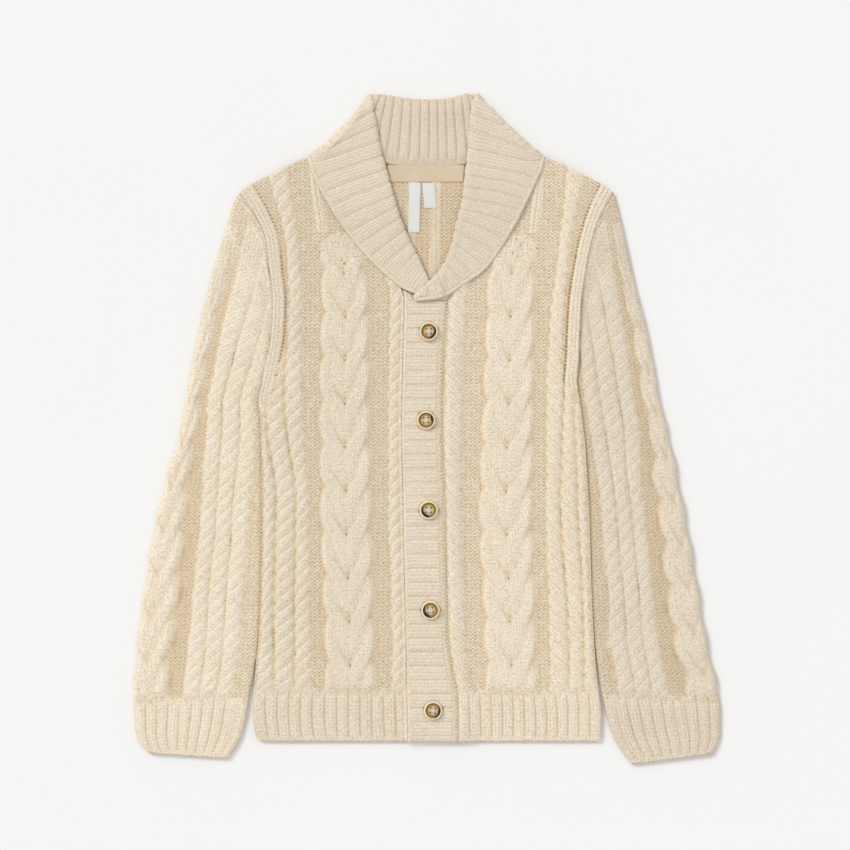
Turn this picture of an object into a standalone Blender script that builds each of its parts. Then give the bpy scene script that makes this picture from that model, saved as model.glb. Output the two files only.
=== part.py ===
"""Shawl collar cardigan in cable knit, buttoned and laid flat on its back.

The garment lies in the XY plane with its front up: +X is to the right of someone looking
down on it, +Y runs from the hem to the collar and the floor is at Z = 0. The back panel lies
on the floor, the two fronts lie on the back, and the sleeves lie beside the body. The collar
is one folded strip. Over the fronts its fall lies on top of its stand; behind the neck the
stand looks up and the fall lies on the floor under the back panel.

All sizes and tables are in millimetres; the meshes are in metres.
"""

import math

import bmesh
import bpy
import numpy as np
from mathutils import Vector

MM = 0.001

# Walls and the clearances between them.
WALL = 3.0
SEAM = 0.3
COLLAR_WALL = 2.6
TRIM_WALL = 1.0
SLEEVE_SLIT = 0.6
SIDE_GAP = 0.6
EDGE_THICKNESS = 1.4
LINING_INSET = 1.2
END_DROP = 1.2

# Levels of the stacked layers.
FRONT_FLOOR = WALL + SEAM
BAND_STEP = WALL + SEAM
COLLAR_LIFT = COLLAR_WALL + SEAM

# The panels rise over the fall under the back of the neck along a ramp: how far before the
# fall's edge it starts and ends, and how much earlier the upper layers start.
RAMP_START = 60.0
RAMP_END = 3.0
LIFT_FADE = (145.0, 200.0)
TRIM_LEAD = 5.0
FRONT_LEAD = 14.0
COLLAR_LEAD = 26.0

# Collar layers: distance between stand and fall, then how far each lies from the middle of
# the stack of layers at the shoulder edge.
LAYER_STEP = COLLAR_WALL + 0.7
STAND_RADIUS = COLLAR_LIFT / 2
FALL_RADIUS = STAND_RADIUS + LAYER_STEP
BEND_SPREAD = 12.0
COLLAR_EDGE_DROP = 0.6
SHOULDER_OUT = (0.71, 0.70)
LINING_STEP = 3
COLLAR_LINING = (0, 3, 4, 5, 6, 7, 8, 9, 10, 11, 13)

# Knit relief: height over the plain ground and length of one repeat.
ROPE_HEIGHT = 2.4
ROPE_SLACK = 0.3
ROPE_REPEAT = 16.7
CABLE_HEIGHT = 3.4
CABLE_GROOVE = 0.6
CABLE_ROWS = 6
CABLE_SPLITS = 4
SLANT_FADE = 6
ARMHOLE_TWIST = (10.0, 60.0)
BORDER_HEIGHT = 1.2
RIB_HEIGHT = 1.3
ROW = ROPE_REPEAT / 2

# Main lines of the body.
HEM_Y = -360.0
RIB_TOP_Y = -306.0
YOKE_Y = 200.0
YOKE_ROWS = 9
SHOULDER_Y = 300.0
FRONT_ROPE = 20.0
FRONT_LINING = (0, 3, 6, 11, 14)
NECK_POINT = (92.0, 328.0)
BAND_TOP_Y = 145.5
HEM_RIBS = 13
CUFF_RIBS = 10
BAND_RIB = 16.0
BAND_ROLL = (2.0, 7.0, 4.0)
UNDER_BAND_RIGHT = 22.0
UNDER_BAND_ROWS = 22


def table(columns, *rows):
    """Named columns of numbers from rows of equal length."""
    return {name: np.array(values, float) for name, values in zip(columns, zip(*rows))}


# Side seams up to the underarms, then the armhole seams up to the shoulder tips.
BODY_EDGE = table(
    ("y", "left", "right"),
    (-360, -190, 195),
    (-345, -197, 199),
    (-325, -200, 200),
    (-300, -199, 197),
    (-270, -197, 194),
    (-240, -194, 192),
    (-170, -191, 189),
    (-100, -190, 187),
    (-30, -191, 183),
    (10, -192, 179),
    (34, -194, 175.5),
    (56, -189, 172.5),
    (80, -184, 174.5),
    (115, -178.5, 176),
    (148, -177.5, 178),
    (183, -181, 183),
    (217, -185, 190),
    (246, -198, 200),
    (272, -215, 214),
)

# Buttoned edge: free edge on the left, seam with the right front on the right.
BAND = table(
    ("y", "left", "right"),
    (-361, -22, 37),
    (-305, -23, 36),
    (-285, -23.5, 31),
    (-243, -24, 25),
    (-150, -26, 22),
    (-90, -27, 21),
    (10, -29, 18),
    (60, -28, 19),
    (150, -26, 23.5),
)

# Front neckline, from the top of the band to the neck point; the collar's seam runs beside it.
NECKLINE = table(
    ("y", "reach"),
    (147.5, 25.5),
    (161, 30),
    (186, 38),
    (209, 47),
    (239, 58),
    (272, 71),
    (299, 80),
    (313, 85),
    (328, 92),
)

# Shoulder seam and back neckline: height over half the width.
SHOULDER = table(("reach", "y"), (92, 328), (115, 318), (130, 311.5), (140, 310.5), (150, 307),
                 (169, 298), (209, 277), (215, 272))
BACK_NECK = table(("reach", "y"), (0, 298), (25, 299), (48, 303), (75, 317), (92, 328))

# Lower ends of the lapels, as height over x, where the fronts dip under the collar.
LAPEL_LEFT = table(("x", "y"), (-139, 320), (-134, 300), (-121, 271), (-102, 239), (-80, 210),
                   (-55, 183), (-26, 160), (8, 149))
LAPEL_RIGHT = table(("x", "y"), (-12, 147), (14, 152), (42, 165), (68, 184), (91, 216),
                    (109, 248), (121, 273), (130, 305), (137, 322))

# Knitting lanes of the fronts, from the side to the band: the valleys between the ropes c, b
# and a, the wide cable and the start of the rope beside the band.
LANES = ("valley_cb", "valley_ba", "a_end", "cable_start", "cable_end", "band_rope")
LANES_LEFT = table(
    ("y",) + LANES,
    (-360, -176.5, -152.5, -131, -115, -59, -40),
    (-243, -176.5, -153, -133, -116, -61, -41),
    (-87, -174, -151.5, -135, -121, -64, -45),
    (33, -186.5, -164.5, -143, -122, -67, -46),
    (148, -168.5, -160.5, -143, -120, -67, -43),
    (200, -171, -162.5, -146, -121, -74, -56),
    (300, -204, -184.5, -159, -131, -106, -99),
)
LANES_RIGHT = table(
    ("y",) + LANES,
    (-360, 180, 162, 141, 126, 70, 52),
    (-243, 180, 162.5, 140, 125, 68, 46),
    (-87, 173.5, 154, 137, 121, 62, 41),
    (33, 170, 157, 137, 122, 66, 41),
    (148, 169, 160.5, 143, 123, 70, 47),
    (200, 176, 165, 150, 123, 74, 56),
    (300, 202.5, 184, 160, 131, 106, 99),
)

# Sleeves: outline over height, and whether the ropes climb towards the body (1) or away
# from it (-1). Then the lanes as shares of the width from the fold to the underarm.
SLEEVE_LEFT = {
    "sign": -1,
    "climb": 1,
    "underarm_y": 34.0,
    "cuff_y": (-310.0, -308.0),
    "end_y": (-373.0, -379.0),
    "outer": table(("y", "x"), (272, -219), (238, -229), (206, -239), (160, -252), (108, -264),
                   (51, -275), (-1, -284), (-47, -296), (-99, -309), (-151, -319), (-197, -326),
                   (-266, -334), (-310, -337), (-345, -336), (-362, -331), (-373, -321)),
    "inner": table(("y", "x"), (-266, -197.3), (-290, -201), (-309, -205), (-325, -207),
                   (-354, -214), (-379, -229)),
}
SLEEVE_RIGHT = {
    "sign": 1,
    "climb": -1,
    "underarm_y": 56.0,
    "cuff_y": (-305.0, -300.0),
    "end_y": (-374.0, -386.0),
    "outer": table(("y", "x"), (270, 218), (252, 221), (206, 231), (160, 241), (114, 253),
                   (68, 262), (22, 270), (-24, 281), (-70, 290), (-116, 299), (-162, 307),
                   (-204, 314), (-250, 322), (-296, 333), (-325, 338), (-350, 338), (-374, 330)),
    "inner": table(("y", "x"), (-250, 193.4), (-270, 196), (-292, 199), (-319, 204), (-339, 209),
                   (-360, 217), (-386, 235)),
}
SLEEVE_LANES = ("cable_end", "rope_1", "rope_2", "rope_3", "rope_end")
SLEEVE_SHARES = table(
    ("along",) + SLEEVE_LANES,
    (0.0, 0.20, 0.37, 0.56, 0.76, 0.93),
    (0.7, 0.29, 0.38, 0.55, 0.70, 0.845),
    (1.0, 0.28, 0.38, 0.54, 0.69, 0.84),
)
# Where the same lanes meet the armhole, as shares of its height from the shoulder tip.
ARMHOLE_SHARES = {"cable_end": 0.04, "rope_1": 0.07, "rope_2": 0.22, "rope_3": 0.48, "rope_end": 0.74}
CAP_ROWS = 9
ARM_ROWS = 41
SLEEVE_TOP = 2 * WALL + SLEEVE_SLIT
SLEEVE_SIDE = 0.045
SIDE_DROP = 0.4
FOLD_LOW = 1.8
FOLD_SHARE = 0.45
ROPE_SHARE = 0.165
SLIT_POINTS = (1, 5, 8, -2)
# Levels of the cuff past its top edge with the height of the ribs there.
CUFF_LEVELS = ((1.06, 0.0), (1.12, RIB_HEIGHT), (1.5, RIB_HEIGHT), (1.9, RIB_HEIGHT), (2.0, -1.0))

# Collar stations along the strip. Each row is one section: the rib it lies on, the seam, the
# roll (outermost line of the fold), the place where the fall bends over the shoulder edge and
# the free edge. The turns say how far the wall has gone over that edge at the roll, before
# the bend and past it: 0 on top, 1 underneath.
COLLAR_COLUMNS = ("rib", "seam_x", "seam_y", "roll_x", "roll_y", "bend_x", "bend_y",
                  "edge_x", "edge_y", "roll_turn", "bend_turn", "edge_turn")
COLLAR = table(
    COLLAR_COLUMNS,
    (0, -24.5, 147.5, 13, 150, 9, 149, 4, 147.5, 0, 0, 0),
    (1.5, -29, 161, -5, 188, -17, 172, -26, 160, 0, 0, 0),
    (3.5, -37, 186, -19, 215, -39, 197, -55, 183, 0, 0, 0),
    (5.5, -46, 209, -31, 243, -58, 225, -80, 210, 0, 0, 0),
    (7.5, -57, 239, -39, 269, -74, 253, -102, 239, 0, 0, 0),
    (9.5, -70, 272, -48, 299, -88, 284, -121, 271, 0, 0, 0),
    (11.3, -79, 299, -57, 329, -100, 314, -133, 298, 0, 0, 0),
    (11.5, -80, 302, -57.8, 332, -102, 316, -133.6, 305, 0, 0, 0),
    (12, -82, 308.5, -59, 340, -129, 315.8, -134, 314, 0, 0, 0.5),
    (12.5, -83.7, 315, -61, 348.5, -116, 326.5, -129, 314, 0, 0, 1),
    (13, -85.5, 319, -63.5, 357, -100.5, 342, -117, 305, 0, 0, 1),
    (13.5, -86.8, 323.5, -66, 365.5, -88, 354.5, -108, 302, 0, 0, 1),
    (14, -87.6, 327.5, -68.5, 374, -79, 364.5, -103, 300, 0.1, 0.15, 1),
    (14.6, -88, 330, -70.5, 383, -74, 370, -98, 298, 0.5, 0.8, 1),
    (15.6, -83.5, 326, -60, 385, -68, 345, -82, 295, 1, 1, 1),
    (17, -62, 311, -46, 384, -52, 340, -60, 290, 1, 1, 1),
    (19.5, -27, 300, -22, 380.5, -24, 335, -28, 285, 1, 1, 1),
    (22, 3, 298.8, 3, 379, 3, 334, 3, 284, 1, 1, 1),
    (24.5, 30, 300.4, 26, 381, 28, 335, 32, 285, 1, 1, 1),
    (26.8, 60, 310.5, 46, 386, 51, 340, 60, 290, 1, 1, 1),
    (27.8, 83.5, 326, 56, 386, 64, 345, 82, 295, 1, 1, 1),
    (28.8, 88, 330, 65, 384, 71, 366, 98, 298, 0.5, 0.8, 1),
    (29.5, 87.6, 327.5, 58, 368, 77, 361, 103, 300, 0.1, 0.15, 1),
    (30, 86.8, 323.5, 54, 361, 88, 351, 108, 302, 0, 0, 1),
    (30.5, 85.5, 319, 52, 353, 100.5, 338.5, 117, 305, 0, 0, 1),
    (31, 83.7, 315, 50.5, 344, 114, 327, 127.5, 314, 0, 0, 1),
    (31.5, 82, 308.5, 49, 334, 126.5, 315.8, 131.5, 314, 0, 0, 0.5),
    (32, 79.6, 301, 47.5, 322, 100, 314, 132, 304, 0, 0, 0),
    (34.1, 72.5, 279, 44, 290, 88, 283, 121, 273, 0, 0, 0),
    (36.1, 64, 257, 41, 264, 80, 256, 109, 248, 0, 0, 0),
    (38.1, 53.5, 229, 35, 240, 67, 228, 91, 216, 0, 0, 0),
    (40.1, 43.3, 202, 29, 214, 52, 197, 68, 184, 0, 0, 0),
    (42.1, 34.8, 179, 20, 191, 32, 176, 42, 165, 0, 0, 0),
    (43.5, 28.3, 158, 6, 172, 11, 159, 15, 151.5, 0, 0, 0),
    (45, 24, 147.5, -17, 151.5, -12, 149.5, -7, 147.5, 0, 0, 0),
)
# Ribs between which the strip passes over the shoulder edge.
COLLAR_CORNERS = ((11.0, 15.5), (28.0, 32.5))
# The right front rises beside its band, over this reach and up to this height.
BAND_LIFT_REACH = (3.0, 26.0)
BAND_LIFT_TOP = (170.0, 215.0)
# Where the right lapel comes to lie on the end of the left one.
CROSSING = {"x": (15.0, 32.0), "y": (173.0, 192.0)}

CROSSING_MARGIN = 6.0

# Trim inside the neck.
TAPE = {"low": (-42.3, 41.8), "high": (-46.0, 43.0), "y": (284.0, 303.5)}
LABEL_LONG = {"top": (-20.0, -7.0), "low": (-22.0, -8.5), "y": (283.4, 226.0)}
LABEL_SHORT = {"top": (-5.5, 9.0), "low": (-3.0, 11.0), "y": (283.4, 254.0)}

# Buttons, numbered from the collar to the hem.
BUTTONS = table(("x", "y"), (2, 112), (-1, 10), (2, -93), (4, -208), (7, -323))
BUTTON_RADIUS = 11.0
BUTTON_HEIGHT = 4.2
BUTTON_HOLE_RADIUS = 1.1
BUTTON_HOLE_PITCH = 4.0

WOOL = (0.70, 0.59, 0.43)
WOOL_SHADE = (0.62, 0.51, 0.36)
TAPE_PEACH = (0.66, 0.49, 0.33)
LABEL_WHITE = (0.86, 0.85, 0.82)
HORN = (0.42, 0.25, 0.10)


# ---------------------------------------------------------------- numbers and outlines

def ease(value, start, end):
    """0 before start, 1 past end, smooth between; start may be the larger."""
    share = min(max((value - start) / (end - start), 0.0), 1.0)
    return share * share * (3 - 2 * share)


def slopes(xs, ys):
    """Slopes of a monotone cubic through the points of a table."""
    steps = np.diff(ys) / np.diff(xs)
    inner = [0.0 if a * b <= 0 else 2 * a * b / (a + b) for a, b in zip(steps, steps[1:])]
    return np.array([steps[0]] + inner + [steps[-1]])


def smooth(value, xs, ys):
    """Value of a smooth curve through a table, held past its ends."""
    if xs[0] > xs[-1]:
        xs, ys = xs[::-1], ys[::-1]
    value = min(max(value, xs[0]), xs[-1])
    i = int(min(max(np.searchsorted(xs, value) - 1, 0), len(xs) - 2))
    width = xs[i + 1] - xs[i]
    t = (value - xs[i]) / width
    m = slopes(xs, ys)
    return float((2 * t**3 - 3 * t**2 + 1) * ys[i] + (t**3 - 2 * t**2 + t) * width * m[i]
                 + (3 * t**2 - 2 * t**3) * ys[i + 1] + (t**3 - t**2) * width * m[i + 1])


def body_edge(y, side):
    return smooth(y, BODY_EDGE["y"], BODY_EDGE[side])


def neckline(y):
    return smooth(y, NECKLINE["y"], NECKLINE["reach"])


def shoulder_y(x):
    return smooth(abs(x), SHOULDER["reach"], SHOULDER["y"])


def panel_top_y(x):
    """Upper end of the back panel: shoulder seams with the neckline between them."""
    if abs(x) < NECK_POINT[0]:
        return smooth(abs(x), BACK_NECK["reach"], BACK_NECK["y"])
    return shoulder_y(x)


def collar_lift(x, y, lead=0.0):
    """Rise of a panel over the fall that lies under the back of the neck.

    A layer higher up starts to rise a little earlier, by its lead.
    """
    fall_edge = 283 + 15 * min(abs(x) / 110, 1.1) ** 2
    beside = ease(abs(x) - lead, LIFT_FADE[1], LIFT_FADE[0])
    return COLLAR_LIFT * beside * ease(y + lead, fall_edge - RAMP_START, fall_edge - RAMP_END)


def band_lift(x, y):
    """Rise of the right front where its band lies on the band of the left front."""
    seam = smooth(y, BAND["y"], BAND["right"])
    near = ease(x, seam + BAND_LIFT_REACH[1], seam + BAND_LIFT_REACH[0])
    return BAND_STEP * near * ease(y, BAND_LIFT_TOP[1], BAND_LIFT_TOP[0])


def crossing(x, y):
    """1 where the right lapel lies on the end of the left one, 0 away from there."""
    return ease(x, CROSSING["x"][1], CROSSING["x"][0]) * ease(y, CROSSING["y"][1], CROSSING["y"][0])


# ---------------------------------------------------------------- meshes

def bridge(bm, first, second, closed=False):
    """Faces between two rows of vertices, quads where their counts match."""
    if closed:
        first, second = first + first[:1], second + second[:1]
    if len(first) == len(second):
        for i in range(len(first) - 1):
            bm.faces.new((first[i], first[i + 1], second[i + 1], second[i]))
        return
    along_first, along_second = travelled(first), travelled(second)
    i = j = 0
    while i < len(first) - 1 or j < len(second) - 1:
        second_done = j == len(second) - 1
        if second_done or (i < len(first) - 1 and along_first[i + 1] <= along_second[j + 1]):
            bm.faces.new((first[i], first[i + 1], second[j]))
            i += 1
        else:
            bm.faces.new((first[i], second[j + 1], second[j]))
            j += 1


def travelled(verts):
    """Share of a row's length reached at each of its vertices."""
    steps = [(b.co - a.co).length for a, b in zip(verts, verts[1:])]
    return np.concatenate(([0.0], np.cumsum(steps))) / sum(steps)


def skin(bm, rows, closed=False):
    """Surface through rows of points, which may differ in their number of points."""
    verts = [[bm.verts.new(Vector(point) * MM) for point in row] for row in rows]
    for first, second in zip(verts, verts[1:]):
        bridge(bm, first, second, closed)
    return verts


def finish_mesh(name, bm, collection):
    bmesh.ops.recalc_face_normals(bm, faces=bm.faces)
    mesh = bpy.data.meshes.new(name)
    bm.to_mesh(mesh)
    bm.free()
    item = bpy.data.objects.new(name, mesh)
    collection.objects.link(item)
    return item


def wall(name, outer, inner, collection):
    """Closed wall between an outer and an inner surface whose borders run together."""
    bm = bmesh.new()
    a = skin(bm, outer)
    b = skin(bm, inner)
    bridge(bm, a[0], b[0])
    bridge(bm, a[-1], b[-1])
    bridge(bm, [row[0] for row in a], [row[0] for row in b])
    bridge(bm, [row[-1] for row in a], [row[-1] for row in b])
    return finish_mesh(name, bm, collection)


def tube(name, outer, inner, collection):
    """Closed wall of a tube that is open at both ends."""
    bm = bmesh.new()
    a = skin(bm, outer, closed=True)
    b = skin(bm, inner, closed=True)
    bridge(bm, a[0], b[0], closed=True)
    bridge(bm, a[-1], b[-1], closed=True)
    return finish_mesh(name, bm, collection)


def give_material(item, name, colour, roughness):
    material = bpy.data.materials.new(name)
    material.use_nodes = True
    shader = material.node_tree.nodes["Principled BSDF"]
    shader.inputs["Base Color"].default_value = (*colour, 1.0)
    shader.inputs["Roughness"].default_value = roughness
    shader.inputs["Metallic"].default_value = 0.0
    item.data.materials.append(material)


# ---------------------------------------------------------------- knit relief

def rope_relief(row):
    """Height on a rope's ridge line: rows alternate between a strand and the dip beside it."""
    return ROPE_HEIGHT * (1.0 if row % 2 == 0 else ROPE_SLACK)


def cable_relief(across, row):
    """Height on the wide cable of two mirrored twists that meet in a V on its middle line."""
    outward = abs(2 * across - 1)
    crown = 1 - outward ** 3
    phase = (row / CABLE_ROWS - 0.45 * outward) % 1.0
    groove = max(0.0, 1 - 4 * min(phase, 1 - phase))
    return CABLE_HEIGHT * crown * (1 - CABLE_GROOVE * groove)


# ---------------------------------------------------------------- back and fronts

def add_back(collection):
    """Back panel: a sheet on the floor, thickened upward."""
    levels = [y for y in BODY_EDGE["y"] if y < 34] + list(np.linspace(34, YOKE_Y, 11))
    rows = []
    for y in levels:
        left, right = body_edge(y, "left"), body_edge(y, "right")
        rows.append([(left + (right - left) * share, y) for share in np.linspace(0, 1, 5)])
    reach, tip = NECK_POINT[0], SHOULDER["reach"][-1]
    tops = [*np.linspace(-tip, -reach, 7), *np.linspace(-reach, reach, 9)[1:-1],
            *np.linspace(reach, tip, 7)]
    left, right = rows.pop()[0][0], body_edge(YOKE_Y, "right")
    for share in np.linspace(0, 1, YOKE_ROWS + 1):
        row = []
        for top in tops:
            low = left + (right - left) * (top + tip) / (2 * tip)
            level = YOKE_Y + (panel_top_y(top) - YOKE_Y) * share
            row.append((low + (top - low) * share, level))
        row[0] = (body_edge(row[0][1], "left"), row[0][1])
        row[-1] = (body_edge(row[-1][1], "right"), row[-1][1])
        rows.append(row)
    bm = bmesh.new()
    skin(bm, [[(x, y, collar_lift(x, y)) for x, y in row] for row in rows])
    back = finish_mesh("back", bm, collection)
    if back.data.polygons[0].normal.z < 0:
        back.data.flip_normals()
    thicken = back.modifiers.new("wall", "SOLIDIFY")
    thicken.thickness = WALL * MM
    thicken.offset = 1.0
    give_material(back, "wool_back", WOOL_SHADE, 0.95)


def inner_edge(y, side):
    """Inner edge of a front: band seam, then neckline."""
    sign = -1 if side == "left" else 1
    if y > 148:
        return sign * neckline(y)
    seam = smooth(y, BAND["y"], BAND[side])
    return seam + sign * SEAM


def lane_x(name, y, lanes):
    return smooth(y, lanes["y"], lanes[name])


def front_columns(y, side, lanes):
    """Columns across a front from side to band: what is knitted there, x and its lean.

    The lean of a rope's column counts ropes from the middle one; that of a cable's column is
    its share of the cable's width.
    """
    edge, inner = body_edge(y, side), inner_edge(y, side)
    x = {name: lane_x(name, y, lanes) for name in LANES}
    columns = [("edge", edge, 0.0)]
    columns.append(("c", (edge + x["valley_cb"]) / 2, -1.0))
    columns.append(("valley", x["valley_cb"], -0.5))
    columns.append(("b", (x["valley_cb"] + x["valley_ba"]) / 2, 0.0))
    columns.append(("valley", x["valley_ba"], 0.5))
    columns.append(("a", (x["valley_ba"] + x["a_end"]) / 2, 1.0))
    columns.append(("valley", x["a_end"], 1.5))
    for split in range(CABLE_SPLITS + 1):
        share = split / CABLE_SPLITS
        columns.append(("cable", x["cable_start"] + share * (x["cable_end"] - x["cable_start"]), share))
    columns.append(("valley", x["band_rope"], -1.0))
    columns.append(("band", (x["band_rope"] + inner) / 2, -0.5))
    columns.append(("inner", inner, 0.0))
    return columns


def front_relief(kind, share, row, x, y, cover):
    """Height over the ground of one point of a front; cover is the collar's lower end."""
    heights = {
        "cable": cable_relief(share, row) * ease(y, 262, 232),
        "c": rope_relief(row) * ease(y, 30, 5) + BORDER_HEIGHT * ease(y, 5, 40),
        "b": rope_relief(row + 1) * ease(y, 80, 50),
        "a": rope_relief(row),
        "band": rope_relief(row),
    }
    clear = 0.7 * (smooth(x, cover["x"], cover["y"]) - y)
    shown = ease(clear, 8, 20) * ease(y, RIB_TOP_Y, RIB_TOP_Y + 6)
    return heights.get(kind, 0.0) * shown


def front_ground(x, y, side):
    lift = collar_lift(x, y, lead=FRONT_LEAD)
    if side == "right":
        lift = max(lift, band_lift(x, y))
    return FRONT_FLOOR + lift


def front_rows(side, lanes):
    """Plan of a front: rows of columns from the ribbing to the shoulder seam."""
    rows = []
    count = int(round((YOKE_Y - RIB_TOP_Y) / ROW))
    for row in range(count + 1):
        y = RIB_TOP_Y + (YOKE_Y - RIB_TOP_Y) * row / count
        rows.append([(kind, x, y, lean) for kind, x, lean in front_columns(y, side, lanes)])
    sign = -1 if side == "left" else 1
    targets = [x for _, x, _ in front_columns(SHOULDER_Y, side, lanes)]
    targets[0] = sign * (SHOULDER["reach"][-1] - 0.5)
    targets[-1] = sign * NECK_POINT[0]
    base = rows[-1]
    for step in range(1, YOKE_ROWS + 1):
        share = step / YOKE_ROWS
        row = []
        for (kind, x, y, lean), target in zip(base, targets):
            level = y + (shoulder_y(target) - y) * share
            placed = x + (target - x) * share
            if kind == "edge":
                placed = body_edge(level, side)
            elif kind == "inner":
                placed = sign * neckline(level)
            row.append((kind, placed, level, lean))
        rows.append(row)
    return rows


def rib_rows(low_y, high_y, ribs, edges, level):
    """Rows of points across a ribbed hem: two points a rib, high on the rib, low between."""
    rows = []
    count = 2 * ribs + 1
    levels = ((low_y, -END_DROP), (low_y + 4, RIB_HEIGHT), (high_y - 9, RIB_HEIGHT), (high_y - 5, 0.0))
    for y, height in levels:
        left, right = edges(y)
        row = []
        for i in range(count):
            x = left + (right - left) * i / (count - 1)
            if i in (0, count - 1):
                rise = EDGE_THICKNESS
            else:
                rise = WALL + (height if i % 2 or height < 0 else 0.0)
            row.append((x, y, level(x, y) + rise))
        rows.append(row)
    return rows


def add_front(side, lanes, cover, collection):
    """Front panel: plain inside, cables and ropes raised outside, ribbed hem.

    The ropes climb from the side towards the band.
    """
    plan = front_rows(side, lanes)
    outer = rib_rows(HEM_Y, RIB_TOP_Y, HEM_RIBS,
                     lambda y: (body_edge(y, side), inner_edge(y, side)),
                     lambda x, y: front_ground(x, y, side))
    last = len(plan) - 1
    for row, points in enumerate(plan):
        slant = FRONT_ROPE * min(row, last - row, SLANT_FADE) / SLANT_FADE
        placed = []
        for kind, x, y, share in points:
            if kind in ("c", "valley") and share < 0:
                y += slant * share * ease(y, ARMHOLE_TWIST[1], ARMHOLE_TWIST[0])
            elif kind != "cable":
                y += slant * share
            floor = front_ground(x, y, side)
            if kind in ("edge", "inner") or row == last:
                placed.append((x, y, floor + EDGE_THICKNESS))
            else:
                placed.append((x, y, floor + WALL + front_relief(kind, share, row, x, y, cover)))
        outer.append(placed)
    front = wall(f"front_{side}", outer, front_lining(side, plan), collection)
    give_material(front, f"wool_front_{side}", WOOL, 0.95)


def front_lining(side, plan):
    """Plain inner surface of a front, a little inside its outline."""
    sign = -1 if side == "left" else 1
    y = HEM_Y + LINING_INSET
    edge = body_edge(y, side) - sign * LINING_INSET
    inner = inner_edge(y, side) + sign * LINING_INSET
    rows = [[(edge + (inner - edge) * share, y) for share in (0, 0.25, 0.5, 0.75, 1)]]
    yoke = len(plan) - YOKE_ROWS - 1
    for k in list(range(0, yoke, LINING_STEP)) + list(range(yoke, len(plan))):
        points = plan[k]
        drop = LINING_INSET if k == len(plan) - 1 else 0.0
        row = []
        for i in FRONT_LINING:
            kind, x, y, _ = points[i]
            x += {"edge": -sign * LINING_INSET, "inner": sign * LINING_INSET}.get(kind, 0.0)
            row.append((x, y - drop))
        rows.append(row)
    return [[(x, y, front_ground(x, y, side)) for x, y in row] for row in rows]


# ---------------------------------------------------------------- sleeves

def sleeve_outline(sleeve, share_along):
    """Outer and inner end of a section; 0 at the underarm, 1 at the cuff's end."""
    sign = sleeve["sign"]
    side = "left" if sign < 0 else "right"
    start = sleeve["underarm_y"]
    if share_along <= 1:
        outer_y = start - 4 + (sleeve["cuff_y"][0] - start + 4) * share_along
        inner_y = start + (sleeve["cuff_y"][1] - start) * share_along
    else:
        share = share_along - 1
        outer_y = sleeve["cuff_y"][0] + (sleeve["end_y"][0] - sleeve["cuff_y"][0]) * share
        inner_y = sleeve["cuff_y"][1] + (sleeve["end_y"][1] - sleeve["cuff_y"][1]) * share
    outer_x = smooth(outer_y, sleeve["outer"]["y"], sleeve["outer"]["x"])
    if inner_y > sleeve["inner"]["y"][0]:
        inner_x = body_edge(inner_y, side) + sign * SIDE_GAP
    else:
        inner_x = smooth(inner_y, sleeve["inner"]["y"], sleeve["inner"]["x"])
    return np.array((outer_x, outer_y)), np.array((inner_x, inner_y))


def sleeve_columns(along):
    """Columns across a sleeve: what is knitted there, share of the width and lean."""
    lane = {name: smooth(along, SLEEVE_SHARES["along"], SLEEVE_SHARES[name]) for name in SLEEVE_LANES}
    columns = [("side", SLEEVE_SIDE, 0.0)]
    for split in (1, 2, 3):
        share = split / 4
        columns.append(("cable", SLEEVE_SIDE + (lane["cable_end"] - SLEEVE_SIDE) * share,
                        FOLD_SHARE + (1 - FOLD_SHARE) * share))
    columns.append(("valley", lane["cable_end"], 0.0))
    columns.append(("valley", lane["rope_1"], -1.5))
    ropes = ("rope_1", "rope_2", "rope_3", "rope_end")
    for number, (start, end) in enumerate(zip(ropes, ropes[1:])):
        columns.append(("rope", (lane[start] + lane[end]) / 2, number - 1.0))
        columns.append(("valley", lane[end], number - 0.5))
    columns.append(("side", 1 - SLEEVE_SIDE, 0.0))
    return columns


def armhole_columns():
    """The same columns as shares of the armhole's height from the shoulder tip."""
    lane = ARMHOLE_SHARES
    tip = 0.012
    shares = [tip]
    shares += [tip + (lane["cable_end"] - tip) * split / 4 for split in (1, 2, 3)]
    shares += [lane["cable_end"], lane["rope_1"]]
    ropes = ("rope_1", "rope_2", "rope_3", "rope_end")
    for start, end in zip(ropes, ropes[1:]):
        shares += [(lane[start] + lane[end]) / 2, lane[end]]
    return shares + [1 - SLEEVE_SIDE]


def armhole_point(sleeve, share):
    side = "left" if sleeve["sign"] < 0 else "right"
    tip_y, low_y = 271.0, sleeve["underarm_y"]
    y = tip_y + (low_y - tip_y) * share
    return np.array((body_edge(y, side) + sleeve["sign"] * SIDE_GAP, y))


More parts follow.
